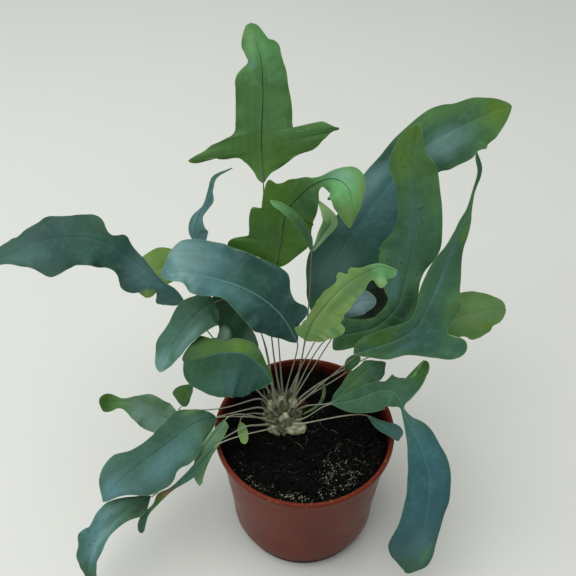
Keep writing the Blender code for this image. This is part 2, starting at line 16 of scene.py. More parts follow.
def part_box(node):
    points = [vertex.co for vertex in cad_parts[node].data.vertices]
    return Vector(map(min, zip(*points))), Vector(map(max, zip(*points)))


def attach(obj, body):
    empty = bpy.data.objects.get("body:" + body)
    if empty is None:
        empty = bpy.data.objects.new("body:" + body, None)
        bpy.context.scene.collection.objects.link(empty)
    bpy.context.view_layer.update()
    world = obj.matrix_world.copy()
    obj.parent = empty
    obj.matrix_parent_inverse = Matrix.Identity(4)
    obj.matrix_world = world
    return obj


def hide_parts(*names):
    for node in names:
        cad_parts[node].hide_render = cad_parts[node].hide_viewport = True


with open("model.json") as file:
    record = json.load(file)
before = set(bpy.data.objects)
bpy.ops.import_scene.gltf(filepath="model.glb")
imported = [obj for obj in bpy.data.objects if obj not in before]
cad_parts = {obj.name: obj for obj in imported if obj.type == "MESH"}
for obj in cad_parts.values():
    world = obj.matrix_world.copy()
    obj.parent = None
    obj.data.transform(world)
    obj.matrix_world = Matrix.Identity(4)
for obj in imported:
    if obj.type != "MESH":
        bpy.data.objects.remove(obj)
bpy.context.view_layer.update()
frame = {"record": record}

bl_info = {
    "name": "Potted Blue Star Fern",
    "version": (1, 0, 0),
    "blender": (4, 5, 0),
    "location": "3D View > Sidebar > Fern",
    "description": "Models a blue star fern in its nursery pot around the packed solids",
    "category": "Add Mesh",
}

MM = 0.001
BODY = "root"

# Camera and surroundings
CAMERA_PLACE = (-0.011, -0.290, 0.495)
CAMERA_TILT = math.radians(47.1)
CAMERA_LENS = 45.0
CAMERA_SENSOR = 36.0
WORLD_COLOUR = (0.97, 1.0, 0.98, 1.0)

# Colours of the plant's tissue, and of what lies on the pot and in the soil, in sRGB out of 255
TONES = {
    "teal": (48, 86, 73),
    "deep": (36, 68, 62),
    "blue": (74, 114, 116),
    "mist": (112, 148, 146),
    "sea": (56, 94, 68),
    "leaf": (70, 108, 60),
    "olive": (58, 94, 30),
    "moss": (82, 114, 38),
    "lime": (112, 143, 78),
    "bright": (88, 142, 86),
    "pale": (140, 170, 116),
    "dark": (22, 44, 28),
    "forest": (40, 74, 46),
    "straw": (132, 112, 70),
    "fern": (44, 80, 54),
    # painted deep shade, laid on a lobe that lies behind nearer fronds
    "shade": (8, 28, 10),
    "slate": (96, 122, 124),
    "ash": (92, 122, 102),
    # painted highlight, for a curled tip that catches the light
    "painted highlight": (172, 208, 184),
    "lagoon": (48, 90, 96),
    "curl green": (94, 112, 74),
    "bud red": (92, 40, 42),
    "stalk brown": (88, 74, 50),
    "peat fleck": (44, 42, 38),
    "dried peat": (120, 98, 78),
    "scuff": (170, 120, 100),
    "inner wall dark": (24, 12, 10),
}


def frond_with(**own):
    """A frond's row: its own entries, and the usual ones where it says nothing.

    "tones" run along the shown face and "back" along the other one, "right_tones" replace them right of the
    midrib, "rim" tints the margin, and "patches" are soft spots as (percent, reach, length, width, tone,
    strength), with reach in millimetres from the midrib. "shows" is the face that looks out, "midrib" is how
    strongly the midrib is drawn in the "rib_tone", and "marks" is how strongly dark flecks show. "wave" is
    the ripple's height and length at the margin. "root" is where the stalk leaves the rhizome, from its
    centre, and "via" leads the stalk. "rib" is the midrib from base to tip, "face" and "tip_face" are the
    ways its shown face looks, "fold" lifts the halves about the midrib and "lean" slants the cross-lines. The
    outline is "left" and "right" of the midrib as (percent, width): a lobe steps back in percent, and a third
    number carries its point that far on along the midrib.
    """
    usual = dict(
        shows="upper", right_tones=(), back=((0, "sea"), (100, "leaf")), patches=(), midrib=0.3,
        rib_tone="mist", marks=0.0, via=(), lean=(0, 0), tip_face=own["face"])
    return {**usual, **own}


FRONDS = {
    # The shown under face turns bright towards the tip: partly the frond's own yellow green, partly a painted
    # glow of light shining through the thin blade.
    "crown": frond_with(
        shows="under", tones=((0, "olive"), (40, "leaf"), (62, "leaf"), (80, "bright"), (100, "bright")),
        back=((0, "teal"), (60, "sea"), (100, "bright")), rim=("olive", 0.3), wave=(0.5, 19), midrib=0.85,
        rib_tone="dark",
        patches=((20, 6, 14, 20, "olive", 0.7), (93, -4, 11, 4, "pale", 0.35), (78, -5, 5, 4, "mist", 0.4)),
        root=(-3, 13), fold=8, lean=(-0.25, 0.2), face=(0.15, -0.85, 0.5), tip_face=(0.1, -0.85, 0.5),
        rib=((-26, 72, 245), (-27, 82, 255), (-27, 92, 270), (-26, 102, 287), (-27, 110, 306),
             (-33, 118, 324)),
        left=((0, 0.4), (4, 3.3), (9, 5), (14, 8), (17, 10.5), (20, 13), (21.5, 17), (22, 21), (23.3, 26),
              (25.2, 30), (25.2, 32.5), (24.2, 36), (24.4, 39.5), (25.4, 43), (26.6, 44.5), (28, 42),
              (29, 38), (30, 34.5), (32.2, 30.5), (32.8, 27), (34, 22), (35, 18), (37, 16.2), (42, 15.9),
              (52, 16.3), (64, 16.5), (72, 16.4), (75, 15.2), (77, 13), (78.4, 10.8), (79.4, 8.4), (81, 7.7),
              (84, 8.2), (87.5, 8.5), (91, 9), (95, 7.4), (98.5, 4.6), (100.4, 2.4), (100.4, 0.3)),
        right=((0, 0.4), (2, 2), (5, 5), (7, 10), (9.3, 15), (13, 22.5), (13.8, 28), (14.5, 32.5),
               (16.5, 35.2), (19, 37), (21.5, 40), (23.8, 42.5), (25, 45), (25.3, 47.6), (26.4, 47.4),
               (27, 45.6), (29, 42.7), (31, 40), (32.5, 38), (33, 35.5), (32.6, 33), (31, 30.8), (29.6, 28),
               (28.9, 24.5), (29.3, 21.5), (31, 19.7), (34, 19), (42.5, 18.2), (49.5, 17.2), (59, 15.3),
               (68.5, 14.2), (73, 13), (77, 12.5), (80.5, 12.6), (83, 11.5), (85, 9.8), (86.3, 7.8),
               (88, 7.1), (90.6, 6.2), (94, 5.2), (97.4, 3.7), (99.4, 1.7), (100.4, 0.3))),
    # The shown under face turns bright towards the tip: partly the frond's own yellow green, partly a painted
    # glow of light shining through the thin blade.
    "folded": frond_with(
        shows="under",
        tones=((0, "olive"), (42, "olive"), (52, "leaf"), (60, "bright"), (82, "bright"), (100, "lime")),
        back=((0, "teal"), (60, "sea"), (100, "bright")), rim=("olive", 0.3), wave=(0.5, 17), midrib=0.85,
        rib_tone="dark",
        patches=((44, 8, 14, 12, "forest", 0.6), (16, -10, 12, 14, "forest", 0.35),
                 (84, -8, 10, 3, "lime", 0.7), (70, -3, 12, 5, "mist", 0.4)),
        root=(-1, 7), fold=6, lean=(-0.1, 0), face=(-0.15, -0.8, 0.6), tip_face=(0.25, -0.8, 0.5),
        rib=((-19, 48, 199), (-15, 54, 217), (-12, 60, 232), (-5, 63, 241), (4, 62, 251), (14, 55, 260),
             (22, 46, 261), (25, 38, 254), (24, 34, 241)),
        left=((0, 0.5), (1, 3), (2.4, 7.5), (4, 12), (4.8, 16), (5.4, 21), (6, 26), (6.2, 29.4), (7.8, 31.8),
              (10, 32), (12, 30.8), (13.7, 27.4), (15, 23.4), (16.3, 20.6), (19, 20.4), (24, 21.2),
              (28, 21.5), (30.1, 21), (30.5, 18), (30.9, 15.2), (32.5, 16), (34.5, 17.4), (36.7, 19),
              (38.5, 20), (39.8, 20), (40.8, 15), (43, 12.8), (46, 11.7), (50.5, 8.2), (53, 6.6), (56, 4),
              (60, 2.8), (64, 3.1), (68, 4.7), (72, 8.3), (75, 11), (78, 11.6), (80, 10.8), (83, 9),
              (86, 6.7), (90, 4.8), (94, 3), (98, 1.6), (100, 0.3)),
        right=((0, 0.5), (1.2, 4), (3.5, 7), (6.8, 9.8), (9.7, 12.3), (13, 15), (16, 17.2), (19, 17.8),
               (24.5, 17.4), (30, 18), (35, 17.5), (40, 16.2), (45, 13.8), (50, 10.5), (55, 5), (59, 3.6),
               (62, 7.5), (66, 11.6), (72, 12.6), (80, 12.4), (85, 11.7), (90, 10.2), (94, 7), (97.5, 3.4),
               (99.6, 1.2), (100, 0.3))),
    "young_long": frond_with(
        tones=((0, "sea"), (60, "leaf"), (100, "bright")), back=((0, "leaf"), (100, "lime")),
        rim=("bright", 0.2), wave=(0.3, 12),
        root=(5, 10), fold=12, face=(0, -0.8, 0.6),
        rib=((3, 40, 218), (2, 38, 230), (-4, 36, 244), (-12, 36, 253), (-21, 38, 257)),
        left=((0, 0.5), (20, 3), (45, 4), (65, 4), (85, 3), (95, 2), (100, 0.4)),
        right=((0, 0.5), (25, 1.2), (50, 1.5), (80, 1.5), (94, 1.2), (100, 0.4))),
    "young_short": frond_with(
        tones=((0, "sea"), (50, "leaf"), (100, "pale")), back=((0, "leaf"), (100, "pale")),
        rim=("pale", 0.3), wave=(0.3, 12),
        root=None, fold=10, face=(0.1, -0.8, 0.5),
        rib=((4.1, 41, 217.6), (10, 49, 223), (15, 54, 229), (12, 57, 235), (7, 60, 241)),
        left=((0, 0.5), (30, 3.6), (61, 5.6), (78, 3.4), (92, 1.6), (100, 0.4)),
        right=((0, 0.5), (32, 2.5), (63, 3.8), (85, 2), (100, 0.4))),
    "twisted": frond_with(
        tones=((0, "blue"), (40, "blue"), (100, "teal")), back=((0, "sea"), (100, "sea")),
        rim=("mist", 0.25), wave=(0.5, 14),
        patches=((35, -2, 16, 1.5, "mist", 0.5), (20, 5, 9, 3, "sea", 0.5)),
        root=(-8, 9), fold=0, face=(-0.3, -0.8, 0.4), tip_face=(0.3, -0.8, 0.4),
        rib=((-66, 60, 207), (-68, 62, 217), (-65, 64, 227), (-60, 66, 237), (-57, 68, 244), (-54, 70, 251),
             (-44, 72, 256)),
        left=((0, 3), (8, 4.4), (20, 5.2), (32, 4.2), (45, 1.2), (60, 1.6), (75, 2), (88, 1), (100, 0.3)),
        right=((0, 3), (9, 6.5), (18, 7.6), (26, 4.6), (34, 2.2), (45, 3), (56, 3.8), (64, 1.6), (80, 1),
               (100, 0.3))),
    "far_left": frond_with(
        tones=((0, "deep"), (30, "deep"), (52, "teal"), (70, "deep"), (88, "teal"), (100, "teal")),
        rim=("forest", 0.3), wave=(0.8, 24), midrib=0.08,
        patches=((20, 0, 20, 14, "blue", 0.5), (52, 9, 13, 6, "forest", 0.6), (82, -6, 18, 10, "blue", 0.25),
                 (60, -4, 20, 5, "deep", 0.4)),
        root=(-10, 4), fold=6, face=(-0.1, -0.45, 0.88), tip_face=(-0.2, -0.5, 0.85),
        rib=((-78, 44, 172), (-87, 50, 176), (-100, 56, 186), (-114, 62, 194), (-130, 64, 206),
             (-148, 62, 211), (-165, 56, 212), (-179, 50, 209), (-196, 43, 204)),
        left=((0, 1), (1.4, 4), (3.4, 6.4), (5.6, 8.4), (7.6, 10.4), (9.8, 11.7), (10.8, 11.2), (11.6, 9.4),
              (13.4, 6.8), (15.2, 6.6), (16.8, 8.8), (19.4, 14), (22, 17), (25.6, 18.5), (28.2, 18.1),
              (30.6, 15.8), (32.8, 13.2), (36, 11.9), (39, 12.6), (42.6, 15.2), (49, 17.2), (54.3, 17.9),
              (58.3, 18.6), (61, 20.6), (65, 22.7), (68.5, 24.5), (71, 25.3), (73.8, 25.5), (76, 24.2),
              (78.5, 21.4), (81.5, 16.8), (84, 13.4), (87, 9.8), (90, 6.5), (94, 3.7), (98, 2), (100, 0.4)),
        right=((0, 0.6), (4, 2.4), (8.5, 3.2), (12, 2.4), (16, 2.2), (20, 3), (23.5, 4.2), (27, 5.6),
               (31, 6.7), (34, 8), (37.2, 9.9), (39.2, 11.5), (41, 11.2), (43, 8.6), (44.6, 7.2),
               (46.2, 7.6), (47.8, 9.9), (49.2, 13.4), (51.2, 16.2), (53, 16.9), (56, 16.1), (58.5, 15.3),
               (61, 14.6), (63.5, 15), (66, 16), (68, 16.7), (70, 16.2), (72.4, 14), (76.5, 12.5), (79, 12),
               (81.6, 10.6), (83.4, 9.9), (85.2, 10.3), (87.2, 9.4), (91.5, 8), (95, 6), (98, 3),
               (100, 0.4))),
    "lime_left": frond_with(
        tones=((0, "moss"), (20, "moss"), (75, "lime"), (100, "lime")), back=((0, "lime"), (100, "lime")),
        rim=("moss", 0.4), wave=(0.6, 14),
        root=(-6, 13), fold=5, face=(0, -0.5, 0.87), tip_face=(-0.4, -0.5, 0.7),
        rib=((-82, 86, 161), (-95, 88, 163), (-107, 90, 157), (-114, 88, 148), (-113, 84, 138)),
        left=((0, 2), (16, 10), (43, 17), (75, 14), (94, 9), (99, 4), (100, 0.5)),
        right=((0, 2), (25, 14), (56, 15), (82, 7), (95, 3), (100, 0.5))),
    "broad_left": frond_with(
        tones=((0, "deep"), (35, "deep"), (52, "teal"), (72, "blue"), (90, "mist"), (100, "blue")),
        rim=("teal", 0.25), wave=(0.9, 17), midrib=0.5,
        # The mist spot towards the tip and the thin pale line along the right margin are painted highlights.
        patches=((40, 18, 30, 7, "deep", 0.8), (82, 10, 18, 9, "mist", 0.5), (56, 21, 18, 0.8, "pale", 0.2),
                 (60, -7, 22, 8, "blue", 0.6)),
        root=(0, 1), fold=8, face=(-0.1, -0.62, 0.78), tip_face=(-0.1, -0.55, 0.83),
        rib=((-5, 24, 156), (-14, 27, 175), (-25, 30, 187), (-40, 32, 197), (-57, 32, 204), (-71, 30, 210),
             (-85, 26, 212)),
        left=((0, 1), (2, 3.4), (5, 6.3), (10, 10.8), (15, 14), (20, 15.8), (25, 18.4), (30, 19.3),
              (35, 18.8), (40, 17.8), (45, 16.6), (50, 15.1), (55, 13.3), (60, 11.2), (65, 10.5), (70, 11.3),
              (75, 12.2), (80, 12.5), (83.5, 11.6), (86, 9.4), (88.5, 7), (91.5, 5.6), (95, 4.8), (98, 3.4),
              (100.4, 1.8), (100.8, 0.3)),
        right=((0, 0.6), (5, 3), (9, 5), (12, 9), (14, 13.4), (16, 15.9), (18.4, 15.7), (21, 13.8),
               (24.5, 12.6), (27, 13.6), (30, 16.4), (32.6, 19.6), (35, 21.7), (39, 22.3), (45, 21.8),
               (50, 21), (55, 21), (60, 21.3), (65, 21.9), (70, 22.3), (75, 22), (80, 21.5), (85, 20.6),
               (88, 19.7), (90.6, 17.4), (92.8, 14.9), (95, 12), (96.6, 8.6), (98.6, 5), (100.4, 2),
               (100.8, 0.3))),
    # The mist spots are partly the blade's bluish bloom and partly a painted sheen; the broad one low down
    # also lightens the part that the nearer fronds shade.
    "tall_right": frond_with(
        tones=((0, "fern"), (18, "teal"), (32, "teal"), (48, "blue"), (60, "blue"), (72, "sea"), (84, "sea"),
               (91, "leaf"), (100, "moss")), back=((0, "sea"), (100, "moss")), rim=("leaf", 0.45),
        wave=(0.9, 22), midrib=0.12,
        # The shade spot paints deep shade over the wide lower lobe on the right, which lies behind nearer
        # fronds.
        patches=((22, 0, 24, 16, "mist", 0.3), (52, -9, 20, 6, "mist", 0.6), (10, 36, 46, 17, "shade", 1.0),
                 (98, 0, 15, 16, "moss", 0.8), (82, -13, 34, 7, "leaf", 0.95), (77, 5, 20, 9, "mist", 0.55),
                 (64, -14, 16, 4, "forest", 0.6), (40, -10, 12, 5, "mist", 0.3)),
        root=(4, 14), fold=3, face=(0.25, -0.85, 0.5), tip_face=(0.1, -0.75, 0.6),
        rib=((12, 48, 146), (12, 54, 164), (18, 60, 186), (28, 66, 207), (41, 73, 227), (56, 80, 246),
             (73, 86, 263), (93, 90, 274), (109, 93, 281), (121, 95, 284)),
        left=((0, 1), (5, 6.2), (10, 10.6), (15, 13.6), (20, 17), (25, 19), (29, 18.4), (35, 16), (43, 15.6),
              (52, 16.2), (60, 15.8), (65, 16.6), (70, 16.4), (75, 17.1), (78, 17.5), (81, 16.6), (85, 13.9),
              (90, 12.1), (95, 7.6), (97.6, 4.8), (99.4, 2.3), (100.2, 0.3)),
        right=((0, 1), (1, 8, -1), (1.6, 18, -3), (2.8, 28, -6.5), (5, 37, -9), (8.5, 43.5, -7),
               (13, 47, -2.5), (19, 45.6), (24, 41), (29, 34), (34, 27), (39, 23.6), (45, 22), (54, 21),
               (66, 17.6), (70, 17.6), (74, 19.8), (78, 20.2), (81, 20.5), (83.4, 19.8), (85.2, 17.9),
               (86.6, 18), (87.9, 18.7), (88.6, 17.2), (90, 16.2), (92.4, 15), (95, 11.7), (97.5, 7.6),
               (99.2, 3.6), (100.2, 0.3))),
    "middle_right": frond_with(
        tones=((0, "forest"), (22, "forest"), (40, "sea"), (65, "sea"), (82, "leaf"), (92, "leaf"),
               (100, "moss")), back=((0, "sea"), (100, "moss")), rim=("leaf", 0.4), wave=(0.7, 20),
        marks=1.0, midrib=0.1,
        patches=((50, -8, 26, 7, "sea", 0.6), (64, -3, 30, 4, "blue", 0.3), (36, -6, 14, 4, "blue", 0.5),
                 (74, 9, 14, 4, "leaf", 0.7), (30, 5, 18, 5, "dark", 0.6), (90, -6, 14, 6, "moss", 0.6),
                 (12, 4, 20, 6, "olive", 0.4)),
        root=(5, 4), fold=8, face=(-0.2, -0.8, 0.6), tip_face=(-0.25, -0.85, 0.5),
        rib=((18, 22, 164), (30, 25, 163), (45, 28, 166), (57, 32, 179), (61, 37, 194), (64, 43, 210),
             (66, 48, 230), (65, 53, 250), (60, 58, 271), (61, 62, 291)),
        left=((0, 1), (2, 8), (4.5, 10.4), (9, 8.6), (15, 6.8), (20, 5.6), (25, 6), (30, 7.4), (35, 12.3),
              (40, 15.6), (45, 18.6), (50, 19.7), (52.5, 19.3), (55, 16.8), (60, 13.3), (65, 12.2),
              (70, 12.3), (75, 12.2), (79, 12.2), (82, 13.2), (85, 14.3), (87.5, 13.9), (90, 12.2), (93, 10),
              (95.5, 8.2), (98, 5.4), (99.6, 2.6), (100.3, 0.3)),
        right=((0, 1, -0.5), (0.3, 5, -2), (1, 9, -2.6), (3, 9.8, -1), (6, 9.2), (15, 8.2), (24, 12.4),
               (34, 10.4), (42, 8.8), (45, 9.6), (48, 11.8), (51, 14), (54, 15.4), (57, 15.6), (60, 15),
               (65, 14.2), (70, 13.3), (75, 12.4), (80, 12.7), (83, 12.5), (86, 11.2), (90, 7.8), (93, 5.2),
               (96, 3.4), (99, 1.8), (100.3, 0.3))),
    "lime_front": frond_with(
        tones=((0, "lime"), (60, "lime"), (82, "leaf"), (92, "bright"), (100, "bright")),
        back=((0, "lime"), (100, "bright")), rim=("lime", 0.35), wave=(0.45, 9), midrib=0.35,
        rib_tone="forest",
        patches=((40, -5, 22, 3, "moss", 0.5), (22, 12, 12, 5, "pale", 0.5), (10, 0, 12, 8, "bright", 0.35),
                 (32, 14, 8, 3.5, "bright", 0.8), (60, 4, 24, 3, "leaf", 0.5), (88, 7, 6, 3, "pale", 0.6)),
        root=(3, -6), fold=8, face=(-0.3, -0.75, 0.6), tip_face=(-0.1, -0.7, 0.7),
        rib=((-1, -2, 186), (3, -6, 205), (10, -9, 222), (18, -11, 236), (27, -12, 246), (36, -13, 252),
             (44, -14, 250)),
        left=((0, 5), (2.6, 7.5), (5, 8.4), (8, 7.4), (11.5, 5.9), (15, 5.1), (17.6, 5.1), (21, 4),
              (25, 4.2), (30, 4.5), (36, 4.5), (40, 5.2), (45, 5.3), (49.5, 5.6), (54, 5), (59, 4.5),
              (62.4, 4.9), (64.6, 7.2), (67, 7.5), (69, 5), (70.6, 4.2), (72.4, 5.8), (74.6, 6), (77, 4.6),
              (80, 3.3), (85, 2.7), (90, 2.1), (95, 1.5), (99, 1.4), (101, 0.9), (101, 0.2)),
        right=((0, 1), (2, 3), (5, 5.2), (10, 9.5), (15, 11.7), (20, 13.4), (25, 15.1), (28.6, 16.2),
               (32.4, 17.2), (36, 17.7), (39.4, 17.3), (41, 15.6), (41, 13.6), (42.4, 12.2), (45, 12.3),
               (50, 11.1), (55, 11.2), (60, 10.6), (65, 9.2), (70, 8.7), (75, 7.8), (79.4, 5.8), (82.4, 4.9),
               (84.2, 5.6, -0.5), (85.8, 7.4, -1.2), (87.2, 9.4, -1), (88.8, 10.7, 0.2), (90.2, 9.7, 2.2),
               (92, 7.9, 3.2), (94.6, 6.7, 2), (97.4, 4.8), (99.8, 3.1), (101, 1.8), (101, 0.2))),
    "outer_right": frond_with(
        tones=((0, "fern"), (10, "fern"), (22, "teal"), (40, "sea"), (60, "sea"), (85, "sea"),
               (100, "teal")), rim=("leaf", 0.4), wave=(0.6, 18), midrib=0.18,
        patches=((36, 13, 12, 5, "leaf", 0.8), (66, 4, 10, 2.6, "moss", 0.7), (7, -5, 13, 6, "olive", 0.8),
                 (14, 8, 12, 4, "blue", 0.4), (50, 0, 30, 3, "blue", 0.3), (20, 26, 9, 7, "leaf", 0.5)),
        root=(9, 1), fold=8, lean=(0.2, 0.35), face=(0.1, -0.65, 0.75), tip_face=(0.2, -0.85, 0.5),
        rib=((38, 10, 164), (53, 12, 169), (67, 16, 177), (75, 22, 194), (81, 30, 211), (86, 37, 228),
             (92, 43, 244), (95, 48, 256), (97, 50, 269), (93, 52, 280)),
        left=((0, 0.1, -9), (0.3, 4, -8.4), (1, 7, -6), (2, 8.5, -3), (3.5, 9.2, -0.6), (6, 9.4), (10, 9.2),
              (14, 8.2), (19, 7), (24, 6.1), (31, 7), (36, 9), (40, 9.7), (45, 9.3), (50, 8), (55, 6),
              (60, 3.4), (65, 2.5), (70, 2.4), (75, 1.3), (80, 1), (85, 1.3), (90, 2), (95, 2.4), (98, 1.6),
              (100, 0.3)),
        right=((0, 0.1, -9), (0.5, 3, -6), (1.5, 5.4, -3), (3, 7.8, -1), (5, 9.3), (8, 9.8), (11, 10.8),
               (15, 15.2), (17.4, 21), (20, 29.6), (21, 31.6), (22, 32), (22.7, 31), (23.3, 29.4),
               (23.7, 26.6), (23.7, 21), (24.2, 17), (26, 16.5), (28.8, 18), (31.5, 18.8), (36, 16.7),
               (39, 14.7), (44.4, 12.2), (50, 10), (54, 8.5), (59, 7), (64, 6.3), (67, 5.6), (70, 4.4),
               (75, 2.2), (80, 1), (90, 0.7), (96, 0.6), (100, 0.3))),
    "lime_right": frond_with(
        tones=((0, "leaf"), (50, "leaf"), (100, "leaf")), back=((0, "lime"), (100, "lime")),
        rim=("moss", 0.35), wave=(0.6, 18), midrib=0.05,
        patches=((62, 9, 12, 4, "moss", 0.7), (75, 8, 14, 5, "moss", 0.4), (50, -2, 26, 12, "lime", 0.45)),
        root=(10, 8), fold=6, face=(0, -0.55, 0.85), tip_face=(0.1, -0.5, 0.87),
        rib=((83, 40, 150), (94, 42, 156), (106, 44, 160), (118, 45, 163), (130, 44, 167)),
        left=((0, 0.6), (9, 4), (20, 9), (32, 13), (42, 15), (52, 15.6), (60, 15.4), (66, 14.9), (72, 13.5),
              (78, 12.1), (84, 10.3), (90, 8.3), (95, 6.6), (98.6, 4.8), (100.6, 2.4), (100.9, 0.3)),
        right=((0, 2), (12, 7), (24, 10.8), (32, 12.3), (37, 12.7), (41, 13.8), (45, 16), (50, 16.7),
               (55, 16.6), (60, 16.4), (65, 15.7), (70, 14.8), (75, 13.8), (78, 12.5), (80.4, 11),
               (83.6, 10.2), (87, 9.8), (91, 9), (95, 7.2), (98.4, 4.6), (100.6, 2), (100.9, 0.3))),
    "inner_right": frond_with(
        tones=((0, "dark"), (25, "deep"), (55, "slate"), (100, "slate")), back=((0, "sea"), (100, "sea")),
        rim=("deep", 0.3), wave=(0.4, 12),
        root=(7, 8), fold=4, face=(-0.1, -0.8, 0.6), tip_face=(0, -0.7, 0.7),
        rib=((21, 34, 157), (27, 36, 171), (35, 38, 178), (45, 40, 178)),
        left=((0, 1), (41, 4), (60, 6.5), (76, 7.6), (90, 5), (98, 2), (100, 0.4)),
        right=((0, 1), (31, 2), (54, 7), (76, 7.4), (92, 5), (99, 2), (100, 0.4))),
    "low_right": frond_with(
        tones=((0, "sea"), (45, "leaf"), (80, "sea"), (100, "fern")), rim=("forest", 0.2), wave=(0.5, 14),
        midrib=0.12,
        patches=((66, 5, 14, 5, "forest", 0.3), (60, -4, 16, 3, "leaf", 0.4)),
        root=(12, 1), fold=8, face=(-0.2, -0.6, 0.8), tip_face=(0, -0.5, 0.87),
        rib=((18, 6, 118), (25, 8, 126), (34, 11, 136), (42, 14, 142), (52, 17, 144)),
        left=((0, 0.6), (10, 2.6), (20, 3.4), (30, 4), (40, 5.3), (50, 6), (60, 5.6), (70, 5.7), (75, 6.3),
              (80, 5.2), (90, 2.8), (95, 2), (100, 0.4)),
        right=((0, 0.6), (40, 5.5), (60, 8), (74, 9.7), (84.7, 9.5), (90.7, 7.7), (93.7, 6.2), (95, 4.3),
               (97, 2.6), (100, 0.4))),
    "hanging_right": frond_with(
        tones=((0, "sea"), (26, "sea"), (34, "teal"), (48, "lagoon"), (86, "lagoon"), (100, "sea")),
        rim=("forest", 0.3), wave=(0.5, 24), midrib=0.2,
        patches=((13, 0, 12, 10, "forest", 0.5), (28.5, -25, 18, 14, "olive", 1.0),
                 (24, -14, 10, 7, "leaf", 0.35), (60, 2, 40, 8, "lagoon", 0.2), (86, 0, 16, 10, "blue", 0.6),
                 (90, -9, 12, 4, "bright", 0.4), (99, 2, 7, 12, "sea", 0.6)),
        root=(10, -9), fold=8, lean=(0.3, 0), face=(-0.1, -0.6, 0.8), tip_face=(0.35, -0.8, 0.5),
        rib=((17, -6, 131), (27, -4, 131), (37, -2, 133), (47, -1, 138), (55, -4, 140), (60, -10, 136),
             (62, -18, 132), (70, -32, 123), (76, -46, 107), (75, -58, 87), (72, -66, 64), (64, -72, 44)),
        left=((0, 0.6), (5, 4.5), (9, 6), (14, 6.8), (17.5, 6.2), (20, 5.8), (20.9, 8.8), (21.2, 10.6),
              (21.7, 9.6), (22.5, 9.6), (23.1, 10.6), (23.9, 13.2), (24.1, 16.4), (23.85, 20.6), (23.65, 24),
              (23.7, 27.2), (23.95, 28), (24.45, 26.2), (25.1, 21), (25.9, 16.4), (27, 10.6), (28.3, 5.4),
              (29.5, 1.8), (30.6, 0.9), (33, 2.4), (35, 5.4), (37.5, 8.4), (40, 10.3), (45, 11.7),
              (50, 13.5), (55, 13.7), (60, 13.5), (65, 13.2), (70, 12.4), (75, 11.4), (80, 11), (85, 12),
              (90, 14.2), (93, 14.2), (96, 12.6), (99, 9.6), (101, 6), (101.4, 2.6), (100.4, 0.3)),
        right=((0, 0.6), (2.4, 3.4), (5, 6.2), (10, 9.4), (16, 12), (28.4, 7), (30.2, 2.4), (31.5, 1.5),
               (34, 1.7), (36.6, 2.8), (40, 4.9), (45, 8.2), (50, 11.2), (55, 13.8), (60, 15), (65, 15.7),
               (70, 16.4), (75, 18.6), (78, 21), (80.6, 22.5), (85, 22.6), (88.6, 21.2), (91.6, 18.6),
               (94.4, 14.4), (97, 8), (99, 3.4), (100.4, 0.3))),
    "small_right": frond_with(
        tones=((0, "teal"), (100, "blue")), back=((0, "sea"), (100, "sea")), rim=("sea", 0.2),
        wave=(0.4, 12),
        root=(7, -13), fold=4, face=(0.2, -0.6, 0.8), tip_face=(0.3, -0.6, 0.7),
        rib=((41, -6, 118), (47, -8, 114), (54, -10, 110), (62, -12, 103)),
        left=((0, 0.6), (25, 2), (51, 3.5), (75, 5.8), (88, 5.8), (98, 5), (102, 3.4), (102.6, 0.3)),
        right=((0, 0.6), (20, 2.6), (42, 4), (76, 3.4), (94, 3), (101, 2.4), (102.6, 0.3))),
    "mid_left": frond_with(
        tones=((0, "forest"), (30, "forest"), (55, "sea"), (80, "sea"), (100, "mist")), rim=("sea", 0.25),
        wave=(0.5, 20), midrib=0.1,
        patches=((50, 0, 30, 14, "blue", 0.25), (52, -7, 16, 4, "mist", 0.45), (84, 1, 10, 5, "mist", 0.35),
                 (20, 4, 12, 8, "forest", 0.5)),
        root=(-5, 3), via=((-26, 37, 138), (-39, 52, 163)), fold=8, face=(-0.3, -0.7, 0.65),
        tip_face=(-0.4, -0.65, 0.65),
        rib=((-57, 33, 182), (-63, 30, 181), (-71, 24, 176), (-79, 17, 168), (-86, 10, 159), (-91, 4, 150)),
        left=((0, 5), (3, 11), (6, 14), (12, 14.4), (20, 13.5), (27, 12.7), (35, 11.9), (45, 10.6),
              (52, 9.4), (60, 8.5), (70, 8.1), (75, 7.4), (80, 6.7), (85, 6), (90, 4.5), (94, 3.2),
              (97.6, 1.8), (100.2, 0.3)),
        right=((0, 4), (5, 7), (10, 9), (15, 10.6), (20, 12), (26, 13), (32, 12.8), (40, 11.8), (48, 10.9),
               (58, 10.8), (68, 11), (74, 10.5), (80, 9.3), (85, 8.1), (90, 6.9), (95, 5.3), (98.2, 3.4),
               (99.8, 1.6), (100.2, 0.3))),
    "shaded_left": frond_with(
        tones=((0, "forest"), (40, "fern"), (100, "fern")), back=((0, "forest"), (100, "leaf")),
        rim=("forest", 0.3), wave=(0.5, 12), midrib=0.05,
        # The two spots at 79 percent paint a highlight on the curled tip, where it catches the light.
        patches=((48, 3, 3, 12, "sea", 0.7), (30, -4, 3, 3, "olive", 0.9), (79, 0, 5, 5, "mist", 1.0),
                 (79, 0, 5, 5, "painted highlight", 0.9), (52, -18, 9, 6.5, "ash", 1.0), (52, -18, 9, 6.5, "ash", 0.8)),
        root=(-4, -2), via=((-28, 38, 146),), fold=0, face=(0.2, -0.75, 0.6), tip_face=(0.2, -0.8, 0.5),
        rib=((-42, 42, 171), (-46, 39, 165), (-50, 35, 158), (-55, 30, 150)),
        left=((0, 1, -2), (4, 5, -3), (15, 6.6, -1.5), (30, 10.4), (46, 15.6), (58, 20.2), (68, 23.2),
              (78, 25), (88, 24.8), (98, 21), (105, 14), (109, 6), (110, 0.2)),
